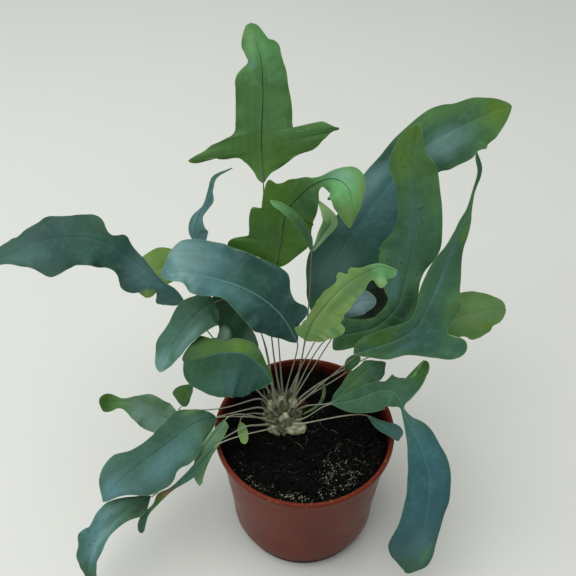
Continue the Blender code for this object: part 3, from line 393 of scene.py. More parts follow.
        right=((0, 1, -2), (4, 7, -3.4), (8, 13, -2.6), (14, 18), (22, 18.4), (36, 15), (56, 9), (76, 4.4),
               (92, 3.4), (104, 2.6), (109, 0.8), (109, 0.2))),
    "cupped_left": frond_with(
        tones=((0, "teal"), (45, "teal"), (75, "fern"), (100, "sea")),
        right_tones=((0, "olive"), (26, "olive"), (38, "leaf"), (48, "moss"), (60, "olive"), (80, "olive"),
                     (100, "forest")), rim=("forest", 0.3), wave=(0.4, 24), midrib=0.2,
        patches=((48, 6, 12, 3.5, "moss", 0.8), (45, -22, 40, 14, "blue", 0.35),
                 (98, -10, 8, 8, "sea", 0.5)),
        root=(-6, -7), fold=-20, face=(-0.1, -0.7, 0.7),
        rib=((-21, 4, 141), (-27, 6, 152), (-37, 8, 162), (-50, 8, 164), (-63, 6, 162), (-75, 3, 161)),
        left=((0, 1, -0.4), (3, 7.5, -5), (10, 13, -9.6), (15, 16.6, -10.9), (20, 20.2, -12),
              (25, 22.9, -13.6), (30, 25.4, -14.6), (35, 27.7, -12.6), (40, 30.1, -7.2), (45, 31, -2.1),
              (50, 30.7, 0.5), (55, 30.3, 1.3), (60, 30, 1.2), (65, 29.9, 2.3), (70, 29.2, 2.7),
              (75, 28.4, 2.3), (80, 26.7, 1), (85, 24.6, 0.4), (90, 21.8), (94, 19.4), (97, 16.4, 1),
              (98.4, 12.8, 2), (99, 9.1, 2.5), (99.4, 5.6, 2), (99.8, 1.8, 0.8), (100, 0.3)),
        right=((0, 1), (10, 2.5), (15, 3), (20, 3.7), (25, 5), (35, 8), (50, 9), (54, 8.8), (56.4, 7.8),
               (60, 7.2), (63, 7.7), (65, 9.4), (66.4, 10.2), (70, 10.5), (75, 12.5), (80, 14), (85, 12),
               (90, 10), (95, 7.3), (99, 4.4), (101, 1.8), (100.8, 0.4))),
    "low_left": frond_with(
        tones=((0, "sea"), (22, "ash"), (56, "ash"), (72, "leaf"), (86, "olive"), (100, "olive")),
        rim=("leaf", 0.25), wave=(0.5, 20), midrib=0.12,
        patches=((50, 5, 20, 3.5, "olive", 0.5), (42, -7, 16, 5, "mist", 0.25)),
        root=(-12, -2), via=((-56, 6, 102.5),), fold=6, face=(0, -0.5, 0.87), tip_face=(-0.1, -0.5, 0.85),
        rib=((-80, 2, 101), (-94, 5, 102), (-106, 8, 110), (-117, 9, 114), (-128, 8, 114), (-135, 6, 118)),
        left=((0, 1), (3, 6), (8, 9), (18, 10.6), (28, 12), (35, 12.8), (41, 12.9), (47, 12.4), (53, 11.4),
              (60, 9.9), (65, 8.2), (70, 6.6), (74, 5), (78, 4.1), (82, 4.4), (86, 5.5), (90, 6.2),
              (93.6, 6.1), (96.6, 4.4), (99, 2.4), (100.6, 0.3)),
        right=((0, 0.8), (8, 4.6), (16, 8), (24, 10.2), (30, 10), (36, 9.6), (42, 9.5), (50, 8.7), (54, 7.2),
               (58, 5.6), (63, 4.2), (68, 2.7), (72, 2.2), (76, 2.8), (80, 4.3), (85, 5.7), (90, 6.1),
               (94.6, 5.5), (98, 4.2), (100.4, 2.2), (100.6, 0.3))),
    "small_left": frond_with(
        tones=((0, "olive"), (70, "olive"), (100, "sea")), back=((0, "leaf"), (100, "leaf")),
        rim=("sea", 0.3), wave=(0.4, 12), midrib=0.05,
        root=(-12, 4), via=((-56, 12, 103),), fold=0, face=(-0.2, -0.6, 0.75),
        rib=((-83, 14, 103), (-80, 15, 112), (-75, 17, 122)),
        left=((0, 1), (8, 6), (20, 9.6), (40, 9.4), (61, 7.4), (80, 4.4), (94, 1.8), (100, 0.5)),
        right=((0, 1), (10, 3), (22, 3.8), (58, 3.6), (82, 2.8), (95, 1.6), (100, 0.5))),
    "broad_low_left": frond_with(
        tones=((0, "forest"), (18, "sea"), (45, "teal"), (70, "teal"), (90, "blue"), (100, "blue")),
        rim=("forest", 0.35), wave=(0.8, 22), marks=0.8, midrib=0.1,
        patches=((10, 9, 10, 2, "lime", 0.8), (52, -10, 22, 9, "blue", 0.6), (30, -4, 26, 14, "blue", 0.35),
                 (35, 6, 22, 8, "forest", 0.5), (80, 9, 14, 6, "forest", 0.5), (8, -8, 9, 4, "leaf", 0.5)),
        root=(-12, -7), fold=8, face=(-0.1, -0.5, 0.85), tip_face=(-0.25, -0.5, 0.83),
        rib=((-58, -4, 114), (-71, -8, 113), (-84, -13, 104), (-98, -20, 96), (-111, -28, 90),
             (-122, -37, 86), (-129, -46, 82)),
        left=((0, 2), (3, 6), (11, 12), (20, 16), (30, 19.2), (35, 19.6), (40, 18.3), (45, 18.2), (50, 21.6),
              (55, 23.1), (60, 22.6), (65, 21.6), (70, 20.5), (75, 17.8), (80, 14), (85, 10.6), (90, 7.1),
              (95, 4.4), (98.4, 2.2), (100.3, 0.3)),
        right=((0, 1), (1.6, 3), (5, 5.4), (10, 8), (15, 10.2), (19, 12.6), (22.6, 14), (26, 14.1),
               (30, 13.8), (35, 13), (40, 12.3), (45, 11.3), (50, 11.2), (55, 11), (60, 11.2), (65, 12),
               (70, 14.4), (75, 16.8), (80, 16.6), (85, 14.9), (90, 11.3), (95, 6.4), (98.6, 2.2),
               (100.3, 0.3))),
    "drooping_left": frond_with(
        tones=((0, "leaf"), (50, "bright"), (100, "bright")), back=((0, "leaf"), (100, "lime")),
        rim=("lime", 0.2), wave=(0.4, 12), midrib=0.1,
        patches=((50, 0, 40, 9, "ash", 0.8), (55, 0, 12, 2, "leaf", 0.4),),
        root=(-8, -11), fold=5, face=(0.1, -0.8, 0.6), tip_face=(0, -0.9, 0.45),
        rib=((-51, -14, 124), (-59, -18, 113), (-66, -22, 102), (-69, -27, 89), (-69, -32, 78)),
        left=((0, 1), (3, 4), (9, 5), (28, 6.4), (50, 6.8), (72, 5), (88, 3), (97, 1.6), (100, 0.4)),
        right=((0, 1), (20, 2.2), (48, 2.4), (71, 3.8), (84, 3.6), (96, 1.6), (100, 0.4))),
    "bottom_left": frond_with(
        tones=((0, "forest"), (22, "sea"), (35, "blue"), (60, "blue"), (74, "sea"), (100, "teal")),
        back=((0, "sea"), (100, "sea")), rim=("sea", 0.35), wave=(0.6, 16), marks=0.8, midrib=0.1,
        patches=((10, -4, 12, 4, "dark", 0.7), (45, 0, 20, 3.5, "mist", 0.6), (22, 8, 12, 5, "mist", 0.4),
                 (56, 9, 14, 4, "forest", 0.5), (76, 2, 12, 5, "forest", 0.6), (30, 2, 8, 3, "forest", 0.5)),
        root=(-11, -11), via=((-40, -5, 105), (-56, -14, 102.5), (-72, -19, 96)), fold=6,
        face=(-0.2, -0.6, 0.8), tip_face=(-0.4, -0.75, 0.5),
        rib=((-101, -38, 75), (-112, -44, 73), (-121, -51, 69), (-130, -58, 63), (-137, -65, 53),
             (-142, -71, 37), (-143, -76, 13)),
        left=((0, 0.6), (3, 4), (6, 6.8), (10, 8.8), (15, 8), (20, 6.3), (25, 4.9), (30, 4.3), (36, 4.2),
              (42, 4.6), (50, 5.5), (56, 5.5), (62, 5.1), (67, 6), (75, 7.2), (86, 6.4), (94, 4.4),
              (98, 2.4), (100, 0.4)),
        right=((0, 0.6), (5, 3), (10, 5), (15, 8), (20, 10.9), (25, 13), (30, 13.2), (35, 12.5), (39, 11),
               (42.6, 10.6), (46, 12.6), (50, 14.1), (55, 12.4), (60, 11.4), (65, 10.8), (68, 9.6),
               (70.6, 7.6), (73, 6.8), (76, 5), (80, 2.8), (86, 2.6), (94, 2.4), (98, 1.6), (100, 0.4))),
    "thin_left": frond_with(
        tones=((0, "sea"), (45, "teal"), (56, "straw"), (66, "olive"), (76, "sea"), (100, "teal")),
        back=((0, "sea"), (100, "sea")), rim=("sea", 0.2), wave=(0.3, 12), midrib=0.1,
        root=(-6, -15), fold=4, face=(0, -0.7, 0.7), tip_face=(0, -0.8, 0.6),
        rib=((-58, -24, 109), (-68, -29, 96), (-76, -33, 89), (-86, -37, 82), (-96, -42, 74),
             (-103, -46, 68), (-106, -49, 62), (-108, -52, 53)),
        left=((0, 0.6), (12, 1.6), (29, 2.5), (51, 1), (74, 1.5), (92, 2.2), (98, 1.6), (100, 0.4)),
        right=((0, 1), (18, 3.5), (36, 2.8), (52, 1.8), (61, 4), (71, 1.2), (84, 2.6), (95, 2.6), (99, 1.4),
               (100, 0.4))),
    "seedling": frond_with(
        tones=((0, "leaf"), (60, "lime"), (100, "lime")), back=((0, "lime"), (100, "lime")),
        rim=("lime", 0.3), wave=(0.2, 10), midrib=0.1,
        root=(-14, -2), fold=6, face=(0, -0.6, 0.8),
        rib=((-43, 2, 101), (-42, -6, 101), (-39, -14, 99)),
        left=((0, 0.6), (18, 3.3), (40, 4.2), (66, 4), (88, 2.8), (98, 1.2), (100, 0.3)),
        right=((0, 0.6), (31, 2), (70, 2.2), (92, 1.8), (100, 0.3))),
    "small_back": frond_with(
        tones=((0, "forest"), (50, "leaf"), (100, "leaf")), back=((0, "leaf"), (100, "leaf")),
        rim=("forest", 0.3), wave=(0.3, 12), midrib=0.1,
        root=(11, 6), fold=4, face=(-0.2, -0.7, 0.7),
        rib=((27, 20, 131), (31, 21, 139), (36, 22, 144)),
        left=((0, 0.6), (18, 2.6), (36, 4), (60, 4.4), (80, 3.8), (95, 2), (100, 0.4)),
        right=((0, 0.6), (25, 2.2), (50, 3), (74, 3), (93, 1.6), (100, 0.4))),
}

# The curled young frond beside the rhizome, from its foot to the end of its curl, with its half-thickness.
CROZIER = (
    (-0.2, 11, 98, 0.7), (3, 11, 101, 0.8), (7, 11.5, 104, 0.9), (11, 13, 108, 1.1), (13, 15, 114, 1.3),
    (13, 17, 119, 1.3), (11.6, 18, 121.6, 1.3), (9.4, 18, 121, 1.3), (8.6, 18, 119, 1.0))


# ---- Sizes and colours ----

def linear(tone):
    """A linear RGBA colour from sRGB out of 255."""
    return (*((c / 255 / 12.92) if c <= 10 else ((c / 255 + 0.055) / 1.055) ** 2.4 for c in tone), 1.0)


def toned(name):
    return linear(TONES[name])


def opaque(tone, factor=1.0):
    """A solid colour from linear RGB, darkened or lightened by the factor."""
    return (*(min(1.0, c * factor) for c in tone), 1.0)


def colour(name, description, tone):
    return bpy.props.FloatVectorProperty(
        name=name, description=description, default=linear(tone)[:3], subtype="COLOR", min=0.0, max=1.0)


def length(name, description, default):
    return bpy.props.FloatProperty(
        name=name, description=description, default=default, unit="LENGTH", min=0.0)


def share(name, description, default):
    return bpy.props.FloatProperty(
        name=name, description=description, default=default, subtype="FACTOR", min=0.0, max=1.0)


class PotSettings(bpy.types.PropertyGroup):
    wall: length("Wall", "Thickness of the moulded wall", 1.2 * MM)
    lip_roll: length("Lip roll", "Radius of the rolled lip's edge", 1.2 * MM)
    plastic: colour("Plastic", "Colour of the pot's plastic", (100, 40, 26))
    roughness: share("Roughness", "How matt the plastic is", 0.26)


class SoilSettings(bpy.types.PropertyGroup):
    crumb_count: bpy.props.IntProperty(
        name="Crumbs", description="How many loose crumbs of peat lie on top", default=2000, min=0)
    grit_count: bpy.props.IntProperty(
        name="Grit", description="How many pale grains lie among the crumbs", default=1100, min=0)
    root_count: bpy.props.IntProperty(
        name="Fine roots", description="How many fine roots curl over the soil", default=18, min=0)
    peat: colour("Peat", "Colour of the moist peat", (7, 7, 6))
    grit: colour("Grit", "Colour of the pale grains", (164, 166, 138))
    fibre: colour("Fibres", "Colour of the sticks of bark and moss", (30, 29, 25))
    root: colour("Roots", "Colour of the fine roots", (98, 88, 78))


class RhizomeSettings(bpy.types.PropertyGroup):
    scale_count: bpy.props.IntProperty(
        name="Scales", description="How many hair-like scales clothe the rhizome", default=4200, min=0)
    scale_length: length("Scale length", "Length of the longest scales", 3.4 * MM)
    skin: colour("Skin", "Colour of the rhizome's skin", (84, 84, 64))
    flesh: colour("Flesh", "Colour of its bare chunks", (168, 174, 142))
    scales: colour("Scales", "Colour of the scales", (150, 158, 126))


class StalkSettings(bpy.types.PropertyGroup):
    radius: length("Radius", "Half-thickness of a stalk halfway up", 0.45 * MM)
    foot: colour("Foot", "Colour near the rhizome", (140, 144, 122))
    top: colour("Top", "Colour near the blade", (92, 98, 82))


class BladeSettings(bpy.types.PropertyGroup):
    thickness: length("Thickness", "Thickness of a blade", 0.42 * MM)
    row_spacing: length("Row spacing", "Distance between rows of faces along a blade", 0.9 * MM)
    ripple: bpy.props.FloatProperty(
        name="Ripple", description="Multiplies the height of the margins' waves", default=1.0, min=0.0)
    keel: length("Keel", "How far the midrib stands out of the under face", 0.5 * MM)
    roughness: share("Roughness", "How matt the blades are", 0.5)


class StageSettings(bpy.types.PropertyGroup):
    floor: colour("Floor", "Colour of the floor", (208, 209, 204))
    key: bpy.props.FloatProperty(
        name="Key", description="Power of the overhead light in watts", default=28.0, min=0)
    fill: bpy.props.FloatProperty(
        name="Fill", description="Strength of the surrounding light", default=0.55, min=0)


# ---- Mesh tools ----

def deselect_all():
    for obj in bpy.context.selected_objects:
        obj.select_set(False)


def select_only(obj):
    deselect_all()
    obj.select_set(True)
    bpy.context.view_layer.objects.active = obj


def settle(obj, name, *nodes, slot):
    """Names a finished piece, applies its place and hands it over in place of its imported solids."""
    select_only(obj)
    bpy.ops.object.transform_apply(location=True, rotation=True, scale=True)
    obj.name = name
    obj.data.name = name
    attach(obj, BODY)
    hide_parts(*nodes)


def mesh_object(name, verts, faces):
    """An object from arrays of points in millimetres and of faces."""
    mesh = bpy.data.meshes.new(name)
    mesh.from_pydata((np.asarray(verts) * MM).tolist(), [], faces)
    mesh.update()
    obj = bpy.data.objects.new(name, mesh)
    bpy.context.scene.collection.objects.link(obj)
    return obj


def points_of(obj):
    flat = np.empty(len(obj.data.vertices) * 3, np.float32)
    obj.data.vertices.foreach_get("co", flat)
    return flat.reshape(-1, 3).astype(float)


def set_points(obj, points):
    obj.data.vertices.foreach_set("co", np.asarray(points, np.float32).ravel())
    obj.data.update()


def add_attribute(obj, name, values):
    attribute = obj.data.attributes.new(name, "FLOAT", "POINT")
    attribute.data.foreach_set("value", np.asarray(values, np.float32))


def smooth(obj, angle=50.0):
    select_only(obj)
    bpy.ops.object.shade_smooth_by_angle(angle=math.radians(angle))


def apply_modifier(obj, kind, **settings):
    select_only(obj)
    modifier = obj.modifiers.new(kind.lower(), kind)
    for key, value in settings.items():
        setattr(modifier, key, value)
    bpy.ops.object.modifier_apply(modifier=modifier.name)


def turned(profile, segments):
    """A ring extruded and resized through (radius, height) in millimetres and closed at both ends."""
    deselect_all()
    radius, height = profile[0]
    bpy.ops.mesh.primitive_circle_add(vertices=segments, radius=radius * MM, location=(0, 0, height * MM))
    obj = bpy.context.active_object
    bpy.ops.object.transform_apply(location=True)
    bpy.ops.object.mode_set(mode="EDIT")
    bpy.ops.mesh.select_all(action="SELECT")
    for (radius_a, height_a), (radius_b, height_b) in zip(profile, profile[1:]):
        bpy.ops.mesh.extrude_region_move(
            TRANSFORM_OT_translate={"value": (0, 0, (height_b - height_a) * MM)})
        grow = radius_b / radius_a
        bpy.ops.transform.resize(value=(grow, grow, 1), center_override=(0, 0, height_b * MM))
    bpy.ops.mesh.select_all(action="DESELECT")
    bpy.ops.mesh.select_non_manifold()
    bpy.ops.mesh.fill_holes(sides=0)
    bpy.ops.mesh.select_all(action="SELECT")
    bpy.ops.mesh.normals_make_consistent(inside=False)
    bpy.ops.object.mode_set(mode="OBJECT")
    return obj


def arc(centre, radius, start, end, steps):
    """Points of a circular arc between two angles in degrees."""
    angles = [math.radians(start + (end - start) * i / steps) for i in range(steps + 1)]
    return [(centre[0] + radius * math.cos(a), centre[1] + radius * math.sin(a)) for a in angles]


def tube(points, radii, sides):
    """(verts, faces) of a round tube with closed ends through points in millimetres."""
    points = np.asarray(points, float)
    radii = np.asarray(radii, float)
    ways = np.gradient(points, axis=0)
    ways /= np.linalg.norm(ways, axis=1)[:, None]
    side = np.cross(ways[0], (0.31, 0.42, 0.85))
    verts = []
    for point, way, radius in zip(points, ways, radii):
        side = side - way * side.dot(way)
        side /= np.linalg.norm(side)
        other = np.cross(way, side)
        for k in range(sides):
            turn = math.tau * k / sides
            verts.append(point + radius * (math.cos(turn) * side + math.sin(turn) * other))
    count = len(points)
    faces = [
        (i * sides + k, i * sides + (k + 1) % sides, (i + 1) * sides + (k + 1) % sides, (i + 1) * sides + k)
        for i in range(count - 1) for k in range(sides)]
    faces.append(tuple(reversed(range(sides))))
    faces.append(tuple(range((count - 1) * sides, count * sides)))
    return np.array(verts), faces


def joined(parts):
    """One (verts, faces) from several."""
    verts, faces, start = [], [], 0
    for part_verts, part_faces in parts:
        verts.append(part_verts)
        faces.extend(tuple(start + i for i in face) for face in part_faces)
        start += len(part_verts)
    return np.concatenate(verts), faces


def lump(radius, rng, squash=0.7, rough=0.35):
    """(verts, faces) of a small angular grain: a roughened octahedron with its edges cut once."""
    corners = [(1, 0, 0), (-1, 0, 0), (0, 1, 0), (0, -1, 0), (0, 0, 1), (0, 0, -1)]
    verts = [np.array(c, float) for c in corners]
    middle = {}

    def between(a, b):
        key = (min(a, b), max(a, b))
        if key not in middle:
            point = verts[a] + verts[b]
            middle[key] = len(verts)
            verts.append(point / np.linalg.norm(point))
        return middle[key]

    faces = []
    for x in (0, 1):
        for y in (2, 3):
            for z in (4, 5):
                a, b, c = x, y, z
                if (x + y + z) % 2:
                    b, c = c, b
                ab, bc, ca = between(a, b), between(b, c), between(c, a)
                faces += [(a, ab, ca), (ab, b, bc), (ca, bc, c), (ab, bc, ca)]
    shape = np.array([v * rng.uniform(1 - rough, 1) for v in verts])
    shape *= radius * np.array([rng.uniform(0.7, 1.2), rng.uniform(0.7, 1.2), squash])
    return shape, faces


def turned_about(verts, rng):
    """The points turned at random."""
    turn = Matrix.Rotation(rng.uniform(0, math.tau), 3, "Z") @ Matrix.Rotation(rng.uniform(-0.6, 0.6), 3, "X")
    return verts @ np.array(turn).T


# ---- Materials ----

def add(tree, kind, values=None, **settings):
    """A shader node with its settings made and its inputs set or linked."""
    made = tree.nodes.new(kind)
    for key, value in settings.items():
        setattr(made, key, value)
    for key, value in (values or {}).items():
        if isinstance(value, bpy.types.NodeSocket):
            tree.links.new(value, made.inputs[key])
        else:
            made.inputs[key].default_value = value
    return made


def calc(tree, operation, *values):
    return add(tree, "ShaderNodeMath", dict(enumerate(values)), operation=operation).outputs[0]


def product(tree, first, second):
    return calc(tree, "MULTIPLY", first, second)


def vector(tree, operation, *values):
    made = add(tree, "ShaderNodeVectorMath", dict(enumerate(values)), operation=operation)
    return made.outputs["Value" if operation in ("LENGTH", "DISTANCE") else "Vector"]


def height_of(tree, place):
    return add(tree, "ShaderNodeSeparateXYZ", {0: place}).outputs["Z"]


def fade(tree, value, low, high, out_low=0.0, out_high=1.0):
    """A smooth step of value from low to high, remapped."""
    values = {"Value": value, "From Min": low, "From Max": high, "To Min": out_low, "To Max": out_high}
    return add(tree, "ShaderNodeMapRange", values, interpolation_type="SMOOTHSTEP").outputs[0]


def blend(tree, factor, first, second, mode="MIX"):
    """One colour blended into another."""
    values = {0: factor, 6: first, 7: second}
    return add(tree, "ShaderNodeMix", values, data_type="RGBA", blend_type=mode).outputs[2]


def grain(tree, place, scale, detail=3.0, roughness=0.55, distortion=0.0):
    """Noise over a place, with this many grains to a metre."""
    values = {
        "Vector": place, "Scale": scale, "Detail": detail, "Roughness": roughness, "Distortion": distortion}
    return add(tree, "ShaderNodeTexNoise", values).outputs[0]


def attribute(tree, name):
    return add(tree, "ShaderNodeAttribute", attribute_name=name).outputs["Fac"]


def ramp(tree, value, stops):
    """Colours from (percent, tone name) stops."""
    made = add(tree, "ShaderNodeValToRGB", {"Fac": value})
    elements = made.color_ramp.elements
    while len(elements) < len(stops):
        elements.new(0.5)
    for element, (percent, tone) in zip(elements, stops):
        element.position = percent / 100
        element.color = toned(tone)
    return made.outputs["Color"]


def new_material(name):
    """A node material: (material, tree, object coordinates, shader)."""
    made = bpy.data.materials.new(name)
    made.use_nodes = True
    tree = made.node_tree
    place = add(tree, "ShaderNodeTexCoord").outputs["Object"]
    return made, tree, place, tree.nodes["Principled BSDF"]


def finish_shader(
        tree, shader, colour_socket, roughness, height=None, strength=0.3, distance=0.0003, **constants):
    """Links a shader's colour, roughness and relief, and sets its other inputs by name."""
    tree.links.new(colour_socket, shader.inputs["Base Color"])
    if isinstance(roughness, bpy.types.NodeSocket):
        tree.links.new(roughness, shader.inputs["Roughness"])
    else:
        shader.inputs["Roughness"].default_value = roughness
    if height is not None:
        bump = add(tree, "ShaderNodeBump", {"Height": height, "Strength": strength, "Distance": distance})
        tree.links.new(bump.outputs[0], shader.inputs["Normal"])
    for key, value in constants.items():
        shader.inputs[key.replace("_", " ")].default_value = value


# The pot, in mm: its foot's radius, the height and step of its stacking ledge, the lip's depth and overhang,
# the heights of its floor's two faces, and the count, ring and radius of its drain holes.
FOOT, LEDGE_HEIGHT, LEDGE_STEP = 47.0, 12.0, 3.0
LIP_DEPTH, LIP_OVERHANG = 4.0, 2.0
FLOOR_UNDER, FLOOR_TOP = 1.2, 2.2
DRAIN_HOLES, DRAIN_RING, DRAIN_RADIUS = 8, 34.0, 3.0
POT_SEGMENTS = 160
# Heights on the pot's wall, in metres: dried peat thickens from the first to the second, and scuffs fade out
# by the third.
DUST_LOW, DUST_HIGH, SCUFF_HIGH = 0.088, 0.101, 0.02


def inner_wall(tree, place, settings):
    """1 on the pot's inner wall below the lip, 0 on the outer wall and the lip."""
    out = vector(tree, "LENGTH", vector(tree, "MULTIPLY", place, (1.0, 1.0, 0.0)))
    height = height_of(tree, place)
    straight = calc(tree, "MULTIPLY_ADD", height, -pot_slope(), out)
    middle = (FOOT + LEDGE_STEP - pot_slope() * LEDGE_HEIGHT) * MM - settings.wall / 2
    inside = fade(tree, straight, middle + 0.1 * MM, middle - 0.1 * MM)
    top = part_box("pot")[1].z
    return product(tree, inside, fade(tree, height, top - 2.6 * MM, top - LIP_DEPTH * MM))


def plastic_material(settings):
    """Moulded plastic: flow marks, scuffs round the foot, dried peat by the lip and a near-black inner wall.
    """
    made, tree, place, shader = new_material("terracotta_plastic")
    flow = grain(tree, place, 14.0, 2.0, distortion=0.4)
    specks = grain(tree, place, 420.0, 4.0)
    tone = blend(tree, fade(tree, flow, 0.35, 0.7), opaque(settings.plastic), opaque(settings.plastic, 0.72))
    height = height_of(tree, place)
    dust = product(tree, fade(tree, height, DUST_LOW, DUST_HIGH), fade(tree, specks, 0.56, 0.7))
    tone = blend(tree, product(tree, dust, 0.55), tone, toned("dried peat"))
    scuff = product(tree, fade(tree, height, SCUFF_HIGH, 0.0), fade(tree, specks, 0.5, 0.75))
    tone = blend(tree, product(tree, scuff, 0.3), tone, toned("scuff"))
    # The inner wall below the lip is darkened to near black.
    inner_darkening = product(tree, inner_wall(tree, place, settings), fade(tree, specks, 0.2, 0.6, 0.9, 0.7))
    tone = blend(tree, inner_darkening, tone, toned("inner wall dark"))
    worn = grain(tree, place, 90.0)
    rough = fade(tree, worn, 0.2, 0.9, settings.roughness - 0.04, settings.roughness + 0.08)
    finish_shader(tree, shader, tone, rough, specks, strength=0.012, distance=0.0002, Specular_IOR_Level=0.06)
    return made


def peat_material(settings):
    """Moist peat: near black, with lighter flecks."""
    made, tree, place, shader = new_material("potting_soil")
    fine = grain(tree, place, 900.0, 6.0)
    coarse = grain(tree, place, 120.0, 4.0)
    tone = blend(tree, fade(tree, coarse, 0.35, 0.7), opaque(settings.peat, 0.45), opaque(settings.peat))
    tone = blend(tree, product(tree, fade(tree, fine, 0.62, 0.78), 0.4), tone, toned("peat fleck"))
    finish_shader(tree, shader, tone, 0.95, fine, strength=0.8, distance=0.0008, Specular_IOR_Level=0.1)
    return made


def plain_grain_material(name, tone, variation, scale, roughness, strength=0.4, tint=None):
    """Matt matter whose colour varies by the grain; tint is a (place, reach, tone) that it takes on."""
    made, tree, place, shader = new_material(name)
    patches = grain(tree, place, scale, 4.0)
    darker, lighter = opaque(tone, 1 - variation), opaque(tone, 1 + 0.4 * variation)
    mixed = blend(tree, fade(tree, patches, 0.3, 0.7), darker, lighter)
    if tint:
        centre, reach, tint_tone = tint
        away = vector(tree, "DISTANCE", place, centre)
        mixed = blend(tree, fade(tree, away, reach, reach / 2), mixed, toned(tint_tone))
    fine = grain(tree, place, scale * 8, 3.0)
    finish_shader(
        tree, shader, mixed, roughness, fine, strength=strength, distance=0.0002, Specular_IOR_Level=0.15)
    return made


# Heights, in metres, between which the stalks turn from their foot's tone to their top's.
STALK_TONES = (0.098, 0.16)


def stalk_material(settings):
    """Wiry stalks: straw green near the rhizome, grey green above, browned in places and finely streaked."""
    made, tree, place, shader = new_material("stem")
    higher = fade(tree, height_of(tree, place), *STALK_TONES)
    tone = blend(tree, higher, opaque(settings.foot), opaque(settings.top))
    patches = grain(tree, place, 160.0, 3.0)
    tone = blend(tree, product(tree, fade(tree, patches, 0.5, 0.75), 0.5), tone, toned("stalk brown"))
    streaks = grain(tree, place, 1300.0, 2.0)
    finish_shader(tree, shader, tone, 0.5, streaks, strength=0.15, distance=0.0001)
    return made


def patch(tree, spread, frond_length, spot):
    """How strongly a soft spot shows at each point of a blade laid flat."""
    percent, reach, long, wide, _, strength = spot
    away = vector(tree, "SUBTRACT", spread, (percent / 100 * frond_length, reach, 0.0))
    away = vector(tree, "LENGTH", vector(tree, "MULTIPLY", away, (1 / long, 1 / wide, 0.0)))
    return fade(tree, away, 1.25, 0.25, 0.0, strength)


# Side ribs leave the midrib every so many mm, and run towards the tip by this share of their way out.
RIB_SPACING, RIB_SLANT = 6.8, 0.6


def faces_tone(tree, frond, along, reach, shown, mottle, spread):
    """The tones along both faces, with the soft spots of the shown one."""
    shift = calc(tree, "MULTIPLY_ADD", calc(tree, "SUBTRACT", mottle, 0.5), 0.2, along)
    front = ramp(tree, shift, frond["tones"])
    if frond["right_tones"]:
        front = blend(tree, fade(tree, reach, -1.0, 1.0), front, ramp(tree, shift, frond["right_tones"]))
    for spot in frond["patches"]:
        front = blend(tree, patch(tree, spread, rib_length_of(frond), spot), front, toned(spot[4]))
    return blend(tree, shown, ramp(tree, shift, frond["back"]), front)


def side_ribs(tree, out, run, mottle, edge):
    """Where side ribs rise obliquely from the midrib; they fade before the margin."""
    slant = calc(tree, "MULTIPLY_ADD", out, -RIB_SLANT, run)
    slant = calc(tree, "MULTIPLY_ADD", mottle, 2.4, slant)
    ribs = fade(tree, calc(tree, "PINGPONG", slant, RIB_SPACING / 2), 0.55, 0.0)
    return product(tree, ribs, fade(tree, edge, 1.0, 6.0))


def midrib_line(tree, out, along):
    """Where the midrib shows: it narrows along the blade and fades towards the tip."""
    width = calc(tree, "MULTIPLY_ADD", along, -0.55, 0.8)
    line = fade(tree, calc(tree, "DIVIDE", out, width), 1.0, 0.35)
    return product(tree, line, fade(tree, along, 1.0, 0.7))


